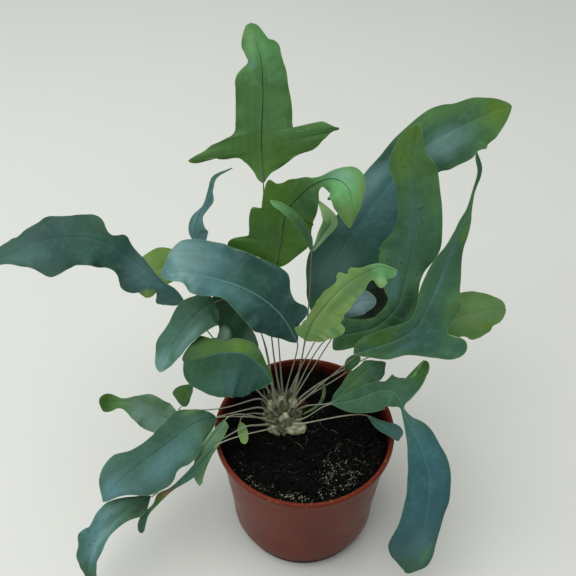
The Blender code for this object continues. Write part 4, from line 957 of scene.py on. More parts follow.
def blade_material(name, frond, settings):
    """A frond's skin: tones along both faces, soft spots and stripes, a tinted margin, ribs and flecks."""
    made, tree, place, shader = new_material(f"{name}_skin")
    along, reach, edge, run, shown = (
        attribute(tree, key) for key in ("along", "reach", "edge", "run", "shown"))
    out = calc(tree, "ABSOLUTE", reach)
    clouds = grain(tree, place, 34.0, 3.0, distortion=0.5)
    mottle = grain(tree, place, 130.0, 5.0, 0.6, 0.8)
    fine = grain(tree, place, 1100.0, 3.0)

    # The blade laid flat and swayed a little, so that spots and stripes have soft, uneven edges.
    laid = add(tree, "ShaderNodeCombineXYZ", {0: run, 1: reach}).outputs[0]
    sway = add(tree, "ShaderNodeTexNoise", {"Vector": place, "Scale": 70.0, "Detail": 2.0}).outputs["Color"]
    sway = vector(tree, "ADD", sway, (-0.5, -0.5, -0.5))
    spread = vector(tree, "MULTIPLY_ADD", sway, (7.0, 5.0, 0.0), laid)
    stripes = grain(tree, vector(tree, "MULTIPLY", spread, (0.03, 0.4, 0.0)), 1.0, 2.0)
    tone = faces_tone(tree, frond, along, reach, shown, mottle, spread)

    rim_tone, rim_amount = frond["rim"]
    inward = calc(tree, "MULTIPLY_ADD", calc(tree, "SUBTRACT", clouds, 0.5), -12.0, edge)
    tone = blend(tree, product(tree, fade(tree, inward, 5.0, 0.5), rim_amount), tone, toned(rim_tone))
    shade = product(tree, fade(tree, clouds, 0.3, 0.7, 0.86, 1.06), fade(tree, stripes, 0.3, 0.7, 0.94, 1.05))
    grey = add(tree, "ShaderNodeCombineColor", {0: shade, 1: shade, 2: shade}).outputs[0]
    tone = blend(tree, 1.0, tone, grey, "MULTIPLY")
    bloom = 0.05 if frond["shows"] == "under" else 0.1
    tone = blend(tree, fade(tree, mottle, 0.48, 0.72, 0.0, bloom), tone, toned("mist"))

    ribs = side_ribs(tree, out, run, mottle, edge)
    tone = blend(tree, product(tree, ribs, 0.05), tone, toned(frond["rib_tone"]))
    midrib = product(tree, midrib_line(tree, out, along), frond["midrib"])
    tone = blend(tree, midrib, tone, toned(frond["rib_tone"]))
    tone = blend(tree, fade(tree, edge, 0.4, 0.1, 0.0, 0.45), tone, toned("pale"))
    if frond["marks"]:
        flecks = fade(tree, grain(tree, place, 260.0, 2.0, distortion=1.5), 0.66, 0.72)
        flecks = product(tree, flecks, fade(tree, clouds, 0.5, 0.6, 0.0, frond["marks"]))
        tone = blend(tree, flecks, tone, toned("dark"))

    # The relief: sunken side ribs with a fine net between them, over the mottled skin.
    net = add(tree, "ShaderNodeTexVoronoi", {"Vector": place, "Scale": 520.0}, feature="DISTANCE_TO_EDGE")
    meshes = product(tree, fade(tree, net.outputs[0], 0.12, 0.0), -0.12)
    height = calc(tree, "MULTIPLY_ADD", ribs, -0.4, meshes)
    height = calc(tree, "MULTIPLY_ADD", fine, 0.12, calc(tree, "MULTIPLY_ADD", mottle, 0.5, height))
    rough = fade(tree, mottle, 0.3, 0.75, settings.roughness - 0.05, settings.roughness + 0.14)
    finish_shader(tree, shader, tone, rough, height, strength=0.3, distance=0.0004, Specular_IOR_Level=0.18)
    return made


# ---- Pot ----

def pot_slope():
    """How far the wall leans out, per unit of height."""
    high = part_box("pot")[1] / MM
    return (high.x - LIP_OVERHANG - FOOT - LEDGE_STEP) / (high.z - LEDGE_HEIGHT)


def pot_profile(settings):
    """Up the outside, over the rolled lip and down the inside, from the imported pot's height and radius."""
    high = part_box("pot")[1]
    top, rim = high.z / MM, high.x / MM
    wall, roll = settings.wall / MM, settings.lip_roll / MM
    slope = pot_slope()
    under = top - LIP_DEPTH
    body = rim - LIP_OVERHANG - slope * LIP_DEPTH
    ledge = FOOT + LEDGE_STEP

    def leaning(start, heights, inward=0.0):
        return [(start + slope * (z - LEDGE_HEIGHT) - inward, z) for z in heights]

    profile = [(0.5, FLOOR_UNDER), (18.0, FLOOR_UNDER), (30.0, 1.0), (40.0, 0.4), (43.0, 0.0)]
    profile += [(FOOT - 1.4, 0.0)]
    profile += arc((FOOT - 1.2, 1.2), 1.2, -80, 0, 5)
    profile += [(FOOT + slope * (LEDGE_HEIGHT - 1.2), LEDGE_HEIGHT - 1.2)]
    profile += arc((FOOT + slope * LEDGE_HEIGHT + 0.6, LEDGE_HEIGHT - 0.6), 0.6, 180, 100, 3)
    profile += arc((ledge + slope * LEDGE_HEIGHT - 0.8, LEDGE_HEIGHT + 0.9), 0.8, -80, 0, 4)
    profile += leaning(ledge, (30.0, 50.0, 70.0, 86.0))
    profile += arc((body + 0.5, under - 0.5), 0.5, 180, 95, 3)
    profile += arc((rim - 0.6, under + 0.6), 0.6, -90, 0, 3)
    profile += arc((rim - roll, top - roll), roll, 0, 90, 7)
    profile += arc((rim - roll - 0.6, top - 0.8), 0.8, 95, 180, 5)
    profile += [(rim - roll - 1.5, under + 0.4), (body - wall, under - 0.8)]
    profile += leaning(ledge, (86.0, 50.0, LEDGE_HEIGHT + 2.4), wall)
    profile += [(FOOT + slope * LEDGE_HEIGHT - wall, LEDGE_HEIGHT + 1.2), (FOOT - wall, 2.4)]
    return profile + [(FOOT - wall - 1.0, 2.0), (20.0, FLOOR_TOP), (0.5, FLOOR_TOP)]


def drain_hole_cutter(turn):
    deselect_all()
    place = (DRAIN_RING * math.cos(turn) * MM, DRAIN_RING * math.sin(turn) * MM, 1.0 * MM)
    bpy.ops.mesh.primitive_cylinder_add(vertices=32, radius=DRAIN_RADIUS * MM, depth=8.0 * MM, location=place)
    return bpy.context.active_object


class FERN_OT_pot(bpy.types.Operator):
    """Turns the nursery pot with its rolled lip, stacking ledge and drain holes"""
    bl_idname = "fern.pot"
    bl_label = "Pot"

    def execute(self, context):
        settings = context.scene.fern_pot
        pot = turned(pot_profile(settings), POT_SEGMENTS)
        for index in range(DRAIN_HOLES):
            cutter = drain_hole_cutter(math.tau * (index + 0.5) / DRAIN_HOLES)
            apply_modifier(pot, "BOOLEAN", operation="DIFFERENCE", object=cutter)
            bpy.data.objects.remove(cutter)
        smooth(pot, 35.0)
        pot.data.materials.append(plastic_material(settings))
        settle(pot, "nursery_pot", "pot", slot="terracotta_plastic")
        return {"FINISHED"}


# ---- Soil ----

# The soil, in mm: how far loose matter lies from the pot's axis, the surface's lowest mean height, the radius
# where it heaps up by the wall, the rings and segments of its mesh, and the count of its fibres.
STREWN, SOIL_HEIGHT, HEAP_RADIUS = 54.0, 89.2, 50.0
BED_RINGS, BED_SEGMENTS = 78, 240
FIBRE_COUNT = 300
# Radii of crumbs of peat and of pale grains, in mm.
CRUMB_SIZES = (0.5, 0.7, 0.9, 1.3, 1.9, 2.6)
GRAIN_SIZES = (0.14, 0.18, 0.22, 0.3, 0.42)
# Where grit gathers: the middle and spread of its patch, and the bearing and spread of its band by the lip.
GRIT_PATCH = ((21.0, 7.0), (-30.0, 6.0))
GRIT_BEARING, GRIT_BAND = (-98.0, 26.0), 50.5


def clump():
    """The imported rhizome's centre and half-size, the height of its foot and its own height, in mm."""
    low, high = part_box("rhizome")
    return (low + high) / 2 / MM, (high - low) / 2 / MM, low.z / MM, (high.z - low.z) / MM


def under_rhizome(x, y):
    """Whether the middle of the rhizome stands on this place of the soil, in millimetres."""
    centre, half, _, _ = clump()
    return math.hypot((x - centre.x) / half.x, (y - centre.y) / half.y) < 0.8


def soil_level(x, y):
    """The lumpy surface's height in millimetres."""
    wide = noise.noise(Vector((x, y, 0.0)) / 14.0)
    lumps = abs(noise.noise(Vector((x, y, 3.0)) / 4.5))
    small = noise.fractal(Vector((x, y, 5.0)) / 3.2, 0.7, 2.1, 4)
    by_wall = math.exp(-((math.hypot(x, y) - HEAP_RADIUS) / 5.0) ** 2)
    rise = 1.6 * by_wall * (0.5 + noise.noise(Vector((x, y, 9.0)) / 6.0))
    return SOIL_HEIGHT + 2.0 * wide + 3.2 * lumps + 1.0 * small + rise


def peat_bed():
    """The body of the soil: a turned block whose top is roughened point by point."""
    low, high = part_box("soil")
    reach = high.x / MM
    profile = [(0.5, low.z / MM), (44.8, low.z / MM), (46.4, 12.0), (reach - 5.0, 15.0), (reach, 88.0)]
    profile += [(reach * (BED_RINGS - i) / BED_RINGS, 90.0) for i in range(BED_RINGS)]
    bed = turned(profile, BED_SEGMENTS)
    points = points_of(bed)
    for point in points:
        if point[2] > 89.5 * MM:
            point[2] = soil_level(point[0] / MM, point[1] / MM) * MM
    set_points(bed, points)
    return bed


def scatter_place(rng, reach):
    """A place on the soil, in millimetres, clear of the rhizome."""
    while True:
        x, y = rng.uniform(-reach, reach), rng.uniform(-reach, reach)
        if math.hypot(x, y) < reach and not under_rhizome(x, y):
            return x, y


def crumbs(count):
    """Loose crumbs of peat of many sizes."""
    rng = random.Random(11)
    parts = []
    for _ in range(count):
        x, y = scatter_place(rng, STREWN)
        verts, faces = lump(rng.choice(CRUMB_SIZES), rng)
        parts.append((turned_about(verts, rng) + (x, y, soil_level(x, y) + 0.2), faces))
    return joined(parts)


def fibres(count):
    """Short sticks of bark and moss lying at random."""
    rng = random.Random(12)
    parts = []
    for _ in range(count):
        x, y = scatter_place(rng, STREWN - 3.0)
        way, size = rng.uniform(0, math.tau), rng.uniform(2.0, 7.0)
        bend = rng.uniform(-0.4, 0.4)
        steps = np.linspace(-0.5, 0.5, 6)
        path = np.array([
            (x + size * t * math.cos(way + bend * t), y + size * t * math.sin(way + bend * t),
             soil_level(x, y) + 0.7 + 0.9 * t * rng.uniform(0.2, 1.0)) for t in steps])
        parts.append(tube(path, rng.uniform(0.12, 0.34) * np.array((0.5, 1, 1, 1, 1, 0.4)), 5))
    return joined(parts)


def grit(count):
    """Pale grains, thickest in a patch at the right front and along the front of the lip."""
    rng = random.Random(13)
    parts = []
    for index in range(count):
        kind = index % 8
        if kind < 3:
            x, y = rng.gauss(*GRIT_PATCH[0]), rng.gauss(*GRIT_PATCH[1])
        elif kind < 7:
            turn = math.radians(rng.gauss(*GRIT_BEARING))
            far = (GRIT_BAND if kind < 6 else STREWN) - abs(rng.gauss(0.0, 2.2))
            x, y = far * math.cos(turn), far * math.sin(turn)
        else:
            x, y = scatter_place(rng, STREWN - 1.0)
        if math.hypot(x, y) > STREWN:
            continue
        radius = rng.choice(GRAIN_SIZES) * (1.0 if kind < 7 else 0.8)
        verts, faces = lump(radius, rng, squash=0.8)
        parts.append((turned_about(verts, rng) + (x, y, soil_level(x, y) + 0.5), faces))
    return joined(parts)


def fine_root(rng, x, y, size):
    """A thin root that wanders over the soil, a step at a time, and stops at the pot's wall."""
    step = 1.2
    way, curl = rng.uniform(0, math.tau), rng.uniform(-0.25, 0.25)
    path = []
    for _ in range(int(size / step)):
        way += curl * 0.5 + rng.uniform(-0.3, 0.3)
        x, y = x + step * math.cos(way), y + step * math.sin(way)
        if math.hypot(x, y) > STREWN - 2.0:
            break
        path.append((x, y, soil_level(x, y) + 0.9 + 0.5 * math.sin(len(path) * 0.7)))
    if len(path) < 4:
        return None
    radii = np.interp(np.linspace(0, 1, len(path)), (0, 0.6, 1), (0.14, 0.11, 0.05))
    return tube(path, radii, 5)


def fine_roots(count):
    """Fine roots: a third at the right front, a third before the rhizome and a third anywhere."""
    rng = random.Random(14)
    parts = []
    while len(parts) < count:
        near = len(parts) % 3
        if near == 0:
            x, y = rng.gauss(22.0, 8.0), rng.gauss(-27.0, 8.0)
        elif near == 1:
            x, y = rng.gauss(-2.0, 8.0), rng.gauss(-8.0, 6.0)
        else:
            x, y = scatter_place(rng, 46.0)
        root = fine_root(rng, x, y, rng.uniform(14.0, 42.0))
        if root:
            parts.append(root)
    return joined(parts)


class FERN_OT_soil(bpy.types.Operator):
    """Fills the pot with rough peat and strews crumbs, fibres, pale grit and fine roots over it"""
    bl_idname = "fern.soil"
    bl_label = "Soil"

    def execute(self, context):
        settings = context.scene.fern_soil
        bed = peat_bed()
        bed.data.materials.append(peat_material(settings))
        smooth(bed, 60.0)
        settle(bed, "peat_bed", "soil", slot="potting_soil")
        loose = (
            ("loose_peat", crumbs(settings.crumb_count), peat_material(settings)),
            ("fibres", fibres(FIBRE_COUNT), plain_grain_material("fibre", settings.fibre, 0.85, 180.0, 0.9)),
            ("grit", grit(settings.grit_count), plain_grain_material("grit", settings.grit, 0.7, 300.0, 0.8)),
        )
        for name, shape, material in loose:
            piece = mesh_object(name, *shape)
            piece.data.materials.append(material)
            settle(piece, name, "soil", slot="potting_soil")
        roots = mesh_object("fine_roots", *fine_roots(settings.root_count))
        roots.data.materials.append(plain_grain_material("root", settings.root, 0.5, 120.0, 0.8))
        smooth(roots)
        settle(roots, "fine_roots", "soil", slot="rhizome_fur")
        return {"FINISHED"}


# ---- Rhizome ----

def dome_point(dx, dy):
    """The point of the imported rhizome's dome over an offset from its centre, and the way it faces, in mm."""
    centre, half, foot, tall = clump()
    u, v = dx / half.x, dy / half.y
    w = math.sqrt(max(0.05, 1.0 - u * u - v * v))
    point = Vector((centre.x + dx, centre.y + dy, foot + tall * w))
    return point, Vector((u / half.x, v / half.y, w / tall)).normalized()


# Stubby branches of the rhizome, as (offset of the foot, offset of the tip, tip's height, thickness), in mm.
BRANCHES = (
    ((-4, -2), (-3, 8), 13.0, 5.5), ((2, 4), (4, 12), 12.0, 5.0), ((-8, 3), (-9, 12), 9.0, 4.6),
    ((-7, -6), (-10, -10), 8.0, 4.8), ((1, -6), (3, -13), 8.0, 5.2), ((6, -1), (9, -5), 8.5, 4.6),
    ((6, 5), (10, 8), 7.5, 4.2), ((10, 6), (14, 8), 8.5, 4.0), ((-1, 1), (0, 1), 14.0, 5.6),
    ((-10, -1), (-13, 0), 6.0, 4.2), ((-2, -10), (-4, -16), 5.5, 4.4), ((4, 10), (6, 16), 7.0, 4.2),
    ((-5, 12), (-7, 17), 6.5, 4.0),
)


def branch(foot, tip, height, thick):
    """A stubby branch that arches up from the soil to its rounded tip."""
    centre, _, low, _ = clump()
    start = np.array((centre.x + foot[0], centre.y + foot[1], low - 1.0))
    end = np.array((centre.x + tip[0], centre.y + tip[1], low + height))
    lift = np.array((0, 0, 0.35 * height))
    shares = np.linspace(0, 1, 12)
    path = [start * (1 - t) + end * t + lift * math.sin(math.pi * t) for t in shares]
    rounding = [math.sqrt(max(0.03, 1 - (max(0, t - 0.72) / 0.28) ** 2)) for t in shares]
    radii = [thick * (0.9 - 0.25 * t) * end_round for t, end_round in zip(shares, rounding)]
    return tube(path, radii, 14)


def rhizome_body():
    """The branches grown together: remeshed to one skin and roughened."""
    body = mesh_object("rhizome_body", *joined([branch(*b) for b in BRANCHES]))
    apply_modifier(body, "REMESH", mode="VOXEL", voxel_size=0.6 * MM)
    apply_modifier(body, "SMOOTH", iterations=4)
    points = points_of(body)
    normals = np.empty(len(points) * 3, np.float32)
    body.data.vertices.foreach_get("normal", normals)
    normals = normals.reshape(-1, 3)
    for point, normal in zip(points, normals):
        bump = noise.fractal(Vector(point) / (2.4 * MM), 0.8, 2.0, 3)
        point += normal * bump * 0.45 * MM
    set_points(body, points)
    return body


def hair_scale(root, way, size, width, rng):
    """A slim pointed scale of a few faces that bends as it leaves the skin."""
    side = way.cross(Vector((rng.uniform(-1, 1), rng.uniform(-1, 1), rng.uniform(-1, 1))))
    if side.length < 1e-6:
        side = way.orthogonal()
    side.normalize()
    up = way.cross(side)
    droop = Vector((0, 0, -0.35 * size * rng.random()))
    middle = root + way * (0.5 * size) + droop * 0.3
    tip = root + way * size + droop
    verts = np.array([
        root - side * width, root + side * width, root + up * width,
        middle - side * width * 0.7, middle + side * width * 0.7, middle + up * width * 0.5, tip])
    faces = [(0, 2, 1), (0, 1, 4, 3), (1, 2, 5, 4), (2, 0, 3, 5), (3, 4, 6), (4, 5, 6), (5, 3, 6)]
    return verts, faces


def rhizome_scales(body, settings):
    """Hair-like scales over all of the body that stands clear of the soil."""
    rng = random.Random(21)
    polygons = [p for p in body.data.polygons if p.center.z > 90.5 * MM and p.normal.z > -0.5]
    weights = [p.area for p in polygons]
    parts = []
    longest = settings.scale_length / MM
    for polygon in rng.choices(polygons, weights, k=settings.scale_count):
        root = polygon.center / MM - polygon.normal * 0.15
        lean = Vector((rng.uniform(-1, 1), rng.uniform(-1, 1), rng.uniform(-0.6, 1.0)))
        way = (polygon.normal * rng.uniform(0.35, 1.0) + lean * 0.8).normalized()
        parts.append(hair_scale(root, way, rng.uniform(0.35, 1.0) * longest, rng.uniform(0.07, 0.13), rng))
    return joined(parts)


# The reddish young tip at the clump's right: its place and reach in metres, and its tone.
BUD = ((0.0005, 0.0225, 0.0975), 0.0085, "bud red")

# Pale chunks of bare flesh on the clump, as (offset of one end, offset of the other, thickness), in mm, and
# the seed of their roughness.
CHUNKS = (
    ((1, -12, 2), (15, -13, 6), 4.4), ((-3, -15, 2), (-10, -12, 5), 3.0), ((-4, 0, 11), (-1, 6, 15), 3.9),
    ((-9, -2, 8), (-8, 5, 12), 3.3), ((4, 1, 9), (7, 7, 13), 3.0), ((-3, -8, 6), (3, -6, 11), 2.9),
)
CHUNK_SEED = 1
# How many bases of old stalks are left.
STUB_COUNT = 26


def old_stubs():
    """Thin bases of old stalks that stand on the left of the clump, each bent a little."""
    rng = random.Random(22)
    parts = []
    centre = clump()[0]
    for _ in range(STUB_COUNT):
        x, y = centre.x - rng.uniform(2.0, 13.0), centre.y + rng.uniform(-7.0, 12.0)
        size, lean = rng.uniform(9.0, 20.0), rng.uniform(-0.55, 0.1)
        foot = np.array((x, y, soil_level(x, y)))
        path = [foot + size * np.array((lean * t, 0.25 * t * t, t)) for t in np.linspace(0, 1, 6)]
        parts.append(tube(path, rng.uniform(0.22, 0.4) * np.array((1.2, 1, 1, 0.9, 0.8, 0.5)), 6))
    return joined(parts)


def chunks():
    """Rounded, roughened blocks of rhizome that show their pale flesh."""
    centre, _, low, _ = clump()
    middle = np.array((centre.x, centre.y, low))
    parts = []
    for first, second, thick in CHUNKS:
        start, end = middle + first, middle + second
        path = [start + (end - start) * t for t in np.linspace(0, 1, 9)]
        parts.append(tube(path, thick * np.array((0.5, 0.8, 0.95, 1.0, 1.0, 0.98, 0.92, 0.8, 0.5)), 12))
    blocks = mesh_object("rhizome_chunks", *joined(parts))
    apply_modifier(blocks, "SUBSURF", levels=2, render_levels=2)
    points = points_of(blocks)
    noise.seed_set(CHUNK_SEED)
    for point in points:
        coarse = np.array(noise.noise_vector(Vector(point) / (3.4 * MM)))
        point += (coarse + 0.35 * np.array(noise.noise_vector(Vector(point) / (0.9 * MM)))) * 1.1 * MM
    set_points(blocks, points)
    return blocks


class FERN_OT_rhizome(bpy.types.Operator):
    """Grows the branching rhizome, its scales and its pale bare chunks"""
    bl_idname = "fern.rhizome"
    bl_label = "Rhizome"

    def execute(self, context):
        settings = context.scene.fern_rhizome
        body = rhizome_body()
        body.data.materials.append(plain_grain_material(
            "rhizome_skin", settings.skin, 0.6, 260.0, 0.85, tint=BUD))
        smooth(body, 70.0)
        scales = mesh_object("rhizome_scales", *joined([rhizome_scales(body, settings), old_stubs()]))
        scales.data.materials.append(plain_grain_material(
            "rhizome_fur", settings.scales, 0.65, 220.0, 0.75, tint=BUD))
        blocks = chunks()
        blocks.data.materials.append(plain_grain_material("rhizome_flesh", settings.flesh, 0.6, 240.0, 0.7))
        smooth(blocks, 70.0)
        settle(body, "rhizome_body", "rhizome", slot="rhizome_fur")
        settle(scales, "rhizome_scales", "rhizome", slot="rhizome_fur")
        settle(blocks, "rhizome_chunks", "rhizome", slot="rhizome_fur")
        return {"FINISHED"}


class FERN_OT_crozier(bpy.types.Operator):
    """Curls the young frond that stands beside the rhizome"""
    bl_idname = "fern.crozier"
    bl_label = "Crozier"

    def execute(self, context):
        stops = np.array(CROZIER, float)
        shares = np.linspace(0, 1, 60)
        path = curve_through(stops[:, :3], shares)
        radii = curve_through(np.c_[stops[:, 3], stops[:, 3] * 0, stops[:, 3] * 0], shares)[:, 0]
        radii[-4:] *= (0.95, 0.85, 0.65, 0.3)
        curl = mesh_object("crozier_curl", *tube(path, radii, 16))
        smooth(curl)
        curl.data.materials.append(plain_grain_material(
            "crozier_skin", toned("curl green")[:3], 0.35, 160.0, 0.5, strength=0.2))
        settle(curl, "crozier_curl", "crozier", slot="lime_frond")
        return {"FINISHED"}


# ---- Fronds ----

def curve_through(points, shares):
    """Points of the smooth curve through the given points, at shares of the way along their chords."""
    points = np.asarray(points, float)
    marks = np.r_[0.0, np.cumsum(np.linalg.norm(np.diff(points, axis=0), axis=1))]
    places = np.asarray(shares) * marks[-1]
    index = np.clip(np.searchsorted(marks, places, side="right") - 1, 0, len(points) - 2)
    t = ((places - marks[index]) / (marks[index + 1] - marks[index]))[:, None]
    padded = np.vstack([2 * points[0] - points[1], points, 2 * points[-1] - points[-2]])
    a, b, c, d = (padded[index + k] for k in range(4))
    return 0.5 * (2 * b + (c - a) * t + (2 * a - 5 * b + 4 * c - d) * t**2 + (3 * b - a - 3 * c + d) * t**3)


def unit(rows):
    """The rows, each with a length of one."""
    return rows / np.linalg.norm(rows, axis=1)[:, None]


def eased(values, width):
    """Rounds the corners of evenly spaced values with a bell of this many samples, keeping the ends."""
    reach = 3 * width
    bell = np.exp(-0.5 * (np.arange(-reach, reach + 1) / width) ** 2)
    bell /= bell.sum()
    padded = np.r_[2 * values[0] - values[reach:0:-1], values, 2 * values[-1] - values[-2:-reach - 2:-1]]
    return np.convolve(padded, bell, mode="valid")


# Samples along a midrib, columns of faces on each side of it, and the share of the blade at either end over
# which its waves die away.
SAMPLES = 401
BLADE_COLUMNS = 12
CALM_END = 0.07


def rib_frame(frond):
    """Even samples along the midrib: points, directions, the ways to the right and out of the shown face."""
    shares = np.linspace(0, 1, SAMPLES)
    centre = curve_through(frond["rib"], shares)
    along = np.gradient(centre, axis=0)
    along = unit(np.stack([eased(along[:, k], 6) for k in range(3)], axis=1))
    face = np.outer(1 - shares, frond["face"]) + np.outer(shares, frond["tip_face"])
    right = unit(np.cross(along, face))
    return centre, along, right, np.cross(right, along)


def rib_length_of(frond):
    """The midrib's length in millimetres."""
    points = curve_through(frond["rib"], np.linspace(0, 1, SAMPLES))
    return float(np.linalg.norm(np.diff(points, axis=0), axis=1).sum())


def flowing(points, spacing):
    """Even samples of the smooth curve through unevenly spaced points."""
    points = np.asarray(points, float)
    gaps = np.linalg.norm(np.diff(points, axis=0), axis=1)
    marks = np.r_[0.0, np.cumsum(gaps)]
    gaps = gaps[:, None]
    slopes = np.diff(points, axis=0) / gaps
    inner = (slopes[:-1] * gaps[1:] + slopes[1:] * gaps[:-1]) / (gaps[1:] + gaps[:-1])
    slopes = np.vstack([slopes[:1], inner, slopes[-1:]])
    places = np.linspace(0, marks[-1], round(marks[-1] / spacing) + 1)
    index = np.clip(np.searchsorted(marks, places, side="right") - 1, 0, len(points) - 2)
    gap = gaps[index]
    t = (places - marks[index])[:, None] / gap
    start, end = points[index], points[index + 1]
    bulge = (slopes[index] * (1 - t) - slopes[index + 1] * t) * gap * t * (1 - t)
    return start + (end - start) * (3 * t**2 - 2 * t**3) + bulge


def margin(frond, side, rib_length):
    """Samples round one side of the outline: the rib place each belongs to, and its way on and out."""
    stops = [(stop[0] / 100 * rib_length, stop[2] if len(stop) > 2 else 0.0, stop[1]) for stop in frond[side]]
    own, on, half = flowing(stops, 0.3).T
    on = on + frond["lean"][side == "right"] * half
    foot = 0.5 * (np.maximum.accumulate(own) + np.minimum.accumulate(own[::-1])[::-1])
    foot = foot + 0.05 * np.linspace(0, rib_length, len(own))
    foot = (foot - foot[0]) * rib_length / (foot[-1] - foot[0])
    arc_length = np.r_[0.0, np.cumsum(np.hypot(np.diff(own + on), np.diff(half)))]
    return dict(foot=foot, own=np.clip(own, 0, None), on=on, half=half, arc=arc_length)


def row_places(margins, rib_length, rows):
    """Where the rows of faces leave the rib: closer together wherever the margin runs far out or back."""
    fine = np.linspace(0, rib_length, 4 * SAMPLES)
    pace = np.ones_like(fine)
    for side in margins.values():
        steps = np.diff(np.interp(fine, side["foot"], side["arc"]), prepend=0.0)
        pace = np.maximum(pace, eased(0.8 * steps * (len(fine) - 1) / rib_length, 2))
    marks = np.cumsum(pace)
    marks = (marks - marks[0]) / (marks[-1] - marks[0])
    return np.interp(np.linspace(0, 1, rows + 1), marks, fine)


def at(places, rows, rib_length):
    """Vectors sampled along a rib of this length at the given places."""
    grid = np.linspace(0, rib_length, SAMPLES)
    return np.stack([np.interp(places, grid, rows[:, k]) for k in range(3)], axis=1)


def waves(name, frond, across, arc_length):
    """The phase of the margin's waves: each side starts on its own, and the waves' length varies."""
    rng = random.Random(name)
    wave_length = frond["wave"][1]
    offset = np.where(across < 0, rng.uniform(0, 6), rng.uniform(0, 6))
    phase = math.tau * arc_length / wave_length + offset
    return phase + 0.9 * np.sin(math.tau * arc_length / (2.7 * wave_length) + offset)


def blade_points(name, frond, across, share, settings):
    """Where the flat grid's points go, the ways out of its face, and the measures that its skin follows."""
    rib_length = rib_length_of(frond)
    centre, along, right, up = rib_frame(frond)
    margins = {side: margin(frond, side, rib_length) for side in ("left", "right")}
    rows = round(1 / np.diff(np.unique(share.round(5))).min())  # rows of faces in the flat grid
    foot = np.interp(share, np.linspace(0, 1, rows + 1), row_places(margins, rib_length, rows))
    part = np.abs(across)
    sides = np.where(across < 0, -1.0, 1.0)
    own, on, half, arc_length, edge = (np.zeros(len(across)) for _ in range(5))
    for side, sign in (("left", -1.0), ("right", 1.0)):
        here = sides == sign
        edge_line = margins[side]
        for target, key in ((own, "own"), (on, "on"), (half, "half"), (arc_length, "arc")):
            target[here] = np.interp(foot[here], edge_line["foot"], edge_line[key])
        flat = np.stack([foot + part * (own + on - foot), part * half], axis=1)[here]
        line = np.stack([edge_line["own"] + edge_line["on"], edge_line["half"]], axis=1)[::2]
        edge[here] = np.sqrt([((line - point) ** 2).sum(axis=1).min() for point in flat])
    reach_along = foot / rib_length
    ends = np.clip(reach_along / CALM_END, 0, 1) * np.clip((1 - reach_along) / CALM_END, 0, 1)
    out = part * half
    run = foot + part * (own + on - foot)

    # Each half rises with the fold and sags towards its margin.
    fold = math.radians(frond["fold"])
    lift = out * math.sin(fold) * (1 - 0.35 * part) - 0.05 * np.minimum(half, 16) * part**2
    # Its margin ripples, less where the blade is narrow, and the whole half sways slowly with it.
    phase = waves(name, frond, across, arc_length)
    ripple = settings.ripple * frond["wave"][0] * np.minimum(1.0, half / 9.0) * ends
    lift += ripple * part**2.5 * np.sin(phase)
    lift += 0.5 * ripple * part * np.sin(0.45 * phase + 2.0)
    # The side ribs show faintly, and the midrib stands out of the under face.
    lift += 0.05 * np.sin(math.tau * (run - RIB_SLANT * out) / RIB_SPACING) * np.sin(math.pi * part) * ends
    keel = settings.keel / MM * (1 - 0.75 * reach_along) * np.exp(-(out / 0.75) ** 2)
    lift += keel if frond["shows"] == "under" else -keel

    # Every cross-line runs straight from the rib to its place on the margin, which may lie past the tip.
    beyond = np.maximum(own - rib_length, 0.0)
    outer = at(own, centre, rib_length) + at(own, along, rib_length) * (on + beyond)[:, None]
    outer += at(own, right, rib_length) * (sides * half * math.cos(fold))[:, None]
    ways_out = at(foot, up, rib_length)
    points = at(foot, centre, rib_length)
    points += (outer - points) * part[:, None]
    points += ways_out * lift[:, None]
    return points, ways_out, dict(along=run / rib_length, reach=sides * out, edge=edge, run=run)


def make_blade(name, frond, settings):
    """A grid laid along the midrib, shaped point by point and given its thickness."""
    deselect_all()
    rib_length = rib_length_of(frond)
    longest = max(margin(frond, side, rib_length)["arc"][-1] for side in ("left", "right"))
    rows = max(20, round(longest * MM / settings.row_spacing))
    bpy.ops.mesh.primitive_grid_add(x_subdivisions=2 * BLADE_COLUMNS, y_subdivisions=rows, size=1.0)
    blade = bpy.context.active_object
    flat = points_of(blade)
    # The columns stand closer together by the midrib.
    across = np.sign(flat[:, 0]) * np.abs(2 * flat[:, 0]) ** 1.25
    across[np.abs(across) < 1e-6] = 0.0
    points, up, measures = blade_points(name, frond, across, flat[:, 1] + 0.5, settings)
    set_points(blade, points * MM)
    for key, values in measures.items():
        add_attribute(blade, key, values)
    apply_modifier(blade, "SOLIDIFY", thickness=settings.thickness, offset=0.0)
    # Of the two faces, the shown one lies on the side that its ways out point to.
    above = ((points_of(blade) - np.tile(points, (2, 1)) * MM) * np.tile(up, (2, 1))).sum(axis=1) > 0
    add_attribute(blade, "shown", above.astype(float))
    smooth(blade, 60.0)
    blade.data.materials.append(blade_material(name, frond, settings))
    return blade


def slot_of(node):
    """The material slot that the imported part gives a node."""
    return next(part["material_slot"] for part in frame["record"]["subparts"] if part["node"] == node)


class FERN_OT_blades(bpy.types.Operator):
    """Models every frond's blade along its midrib, with its lobes, rippled margins, ribs and skin"""
    bl_idname = "fern.blades"
    bl_label = "Blades"

    def execute(self, context):
        for name, frond in FRONDS.items():
            blade = make_blade(name, frond, context.scene.fern_blades)
            settle(blade, f"{name}_leaf", f"{name}_blade", slot=slot_of(f"{name}_blade"))
        return {"FINISHED"}


# Samples along a stalk before its blade, the share of the midrib that it follows, and its distance from the
# midrib's middle, in mm.
STALK_SAMPLES = 40
HELD_SHARE = 0.22
STALK_OFFSET = 0.72


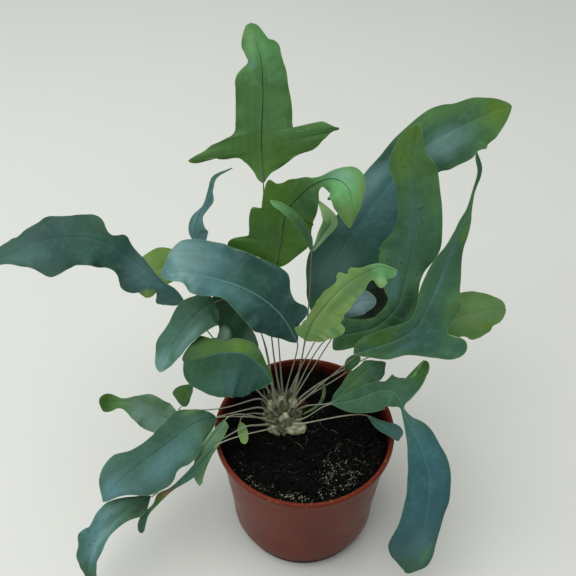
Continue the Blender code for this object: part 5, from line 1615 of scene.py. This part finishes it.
def stalk_path(frond):
    """The way from inside the rhizome to the blade's base and on along the hidden face's midrib.

    The second value is how many points come before the blade.
    """
    foot, out = dome_point(*frond["root"])
    centre, along, _, up = rib_frame(frond)
    hidden = 1.0 if frond["shows"] == "under" else -1.0
    held = np.linspace(0, HELD_SHARE, 10)
    onward = at(held, centre, 1.0) + hidden * STALK_OFFSET * at(held, up, 1.0)
    base, way = Vector(onward[0]), Vector(along[0])
    shares = np.linspace(0, 1, STALK_SAMPLES)
    if frond["via"]:
        stops = [foot, foot + out * 8.0, *(Vector(p) for p in frond["via"]), base - way * 5.0, base]
        path = curve_through([tuple(p) for p in stops], shares)
    else:
        reach = base - foot
        turn_back = 1.0 - way.dot(reach.normalized())
        first = foot + out * (0.3 * reach.length)
        second = base - way * (8.0 * (0.6 + turn_back))
        path = np.array([
            foot * (1 - t) ** 3 + first * (3 * t * (1 - t) ** 2)
            + second * (3 * t * t * (1 - t)) + base * t**3
            for t in shares])
    start = np.array(foot - out * 3.0)
    return np.vstack([start, path, onward[1:]]), len(path) + 1


class FERN_OT_stalks(bpy.types.Operator):
    """Draws every frond's wiry stalk from the rhizome into the midrib of its blade"""
    bl_idname = "fern.stalks"
    bl_label = "Stalks"

    def execute(self, context):
        settings = context.scene.fern_stalks
        skin = stalk_material(settings)
        for name, frond in FRONDS.items():
            if not frond["root"]:
                continue
            path, free = stalk_path(frond)
            # Stout in the rhizome, even on the way up, and thinning out along the midrib.
            marks = np.arange(len(path))
            ends = (0, 3, 14, free - 4, free, free + 3, len(path) - 1)
            radii = settings.radius / MM * np.interp(marks, ends, (1.9, 1.5, 0.95, 0.9, 0.75, 0.5, 0.2))
            stalk = mesh_object(f"{name}_stalk", *tube(path, radii, 12))
            smooth(stalk)
            stalk.data.materials.append(skin)
            settle(stalk, f"{name}_stalk", f"{name}_stem", slot="stem")
        return {"FINISHED"}


# ---- Stage ----

def floor_material(settings):
    """A plain pale floor that keeps the plant's soft shadow."""
    made, tree, place, shader = new_material("pale_floor")
    soft = grain(tree, place, 3.0, 2.0)
    shadier = fade(tree, soft, 0.3, 0.7, 0.0, 0.35)
    tone = blend(tree, shadier, opaque(settings.floor), opaque(settings.floor, 0.96))
    finish_shader(tree, shader, tone, 0.6, Specular_IOR_Level=0.2)
    return made


def area_light(name, place, target, size, power):
    """A round lamp that looks from its place to its target."""
    data = bpy.data.lights.new(name, "AREA")
    data.shape = "DISK"
    data.size = size
    data.energy = power
    lamp = bpy.data.objects.new(name, data)
    lamp.location = place
    lamp.rotation_euler = (Vector(target) - Vector(place)).to_track_quat("-Z", "Y").to_euler()
    bpy.context.scene.collection.objects.link(lamp)


class FERN_OT_stage(bpy.types.Operator):
    """Sets the pale floor, the soft light and the camera that looks down on the plant"""
    bl_idname = "fern.stage"
    bl_label = "Stage"

    def execute(self, context):
        settings = context.scene.fern_stage
        scene = context.scene
        deselect_all()
        bpy.ops.mesh.primitive_plane_add(size=8.0)
        floor = context.active_object
        floor.name = "floor"
        floor.data.materials.append(floor_material(settings))
        area_light("overhead", place=(-0.6, -0.1, 1.7), target=(0.0, 0.0, 0.15), size=1.9, power=settings.key)
        world = bpy.data.worlds.new("studio")
        world.use_nodes = True
        background = world.node_tree.nodes["Background"]
        background.inputs["Color"].default_value = WORLD_COLOUR
        background.inputs["Strength"].default_value = settings.fill
        scene.world = world
        data = bpy.data.cameras.new("camera")
        data.lens = CAMERA_LENS
        data.sensor_width = CAMERA_SENSOR
        camera = bpy.data.objects.new("camera", data)
        camera.location = CAMERA_PLACE
        camera.rotation_euler = (CAMERA_TILT, 0.0, 0.0)
        scene.collection.objects.link(camera)
        scene.camera = camera
        scene.view_settings.view_transform = "Standard"
        return {"FINISHED"}


class FERN_PT_panel(bpy.types.Panel):
    """The buttons and sizes in the sidebar"""
    bl_idname = "FERN_PT_panel"
    bl_label = "Blue Star Fern"
    bl_space_type = "VIEW_3D"
    bl_region_type = "UI"
    bl_category = "Fern"

    def draw(self, context):
        for operator, group in STEPS:
            box = self.layout.box()
            box.operator(operator.bl_idname)
            settings = getattr(context.scene, group, None)
            if settings:
                for key in settings.__annotations__:
                    box.prop(settings, key)


GROUPS = {
    "fern_stage": StageSettings, "fern_pot": PotSettings, "fern_soil": SoilSettings,
    "fern_rhizome": RhizomeSettings, "fern_stalks": StalkSettings, "fern_blades": BladeSettings,
}
STEPS = (
    (FERN_OT_stage, "fern_stage"), (FERN_OT_pot, "fern_pot"), (FERN_OT_soil, "fern_soil"),
    (FERN_OT_rhizome, "fern_rhizome"), (FERN_OT_crozier, ""), (FERN_OT_stalks, "fern_stalks"),
    (FERN_OT_blades, "fern_blades"),
)


def register():
    for group, kind in GROUPS.items():
        bpy.utils.register_class(kind)
        setattr(bpy.types.Scene, group, bpy.props.PointerProperty(type=kind))
    for operator, _ in STEPS:
        bpy.utils.register_class(operator)
    bpy.utils.register_class(FERN_PT_panel)


def unregister():
    bpy.utils.unregister_class(FERN_PT_panel)
    for operator, _ in reversed(STEPS):
        bpy.utils.unregister_class(operator)
    for group, kind in GROUPS.items():
        delattr(bpy.types.Scene, group)
        bpy.utils.unregister_class(kind)


def main():
    register()
    bpy.ops.fern.stage()
    bpy.ops.fern.pot()
    bpy.ops.fern.soil()
    bpy.ops.fern.rhizome()
    bpy.ops.fern.crozier()
    bpy.ops.fern.stalks()
    bpy.ops.fern.blades()


if __name__ == "__main__":
    main()
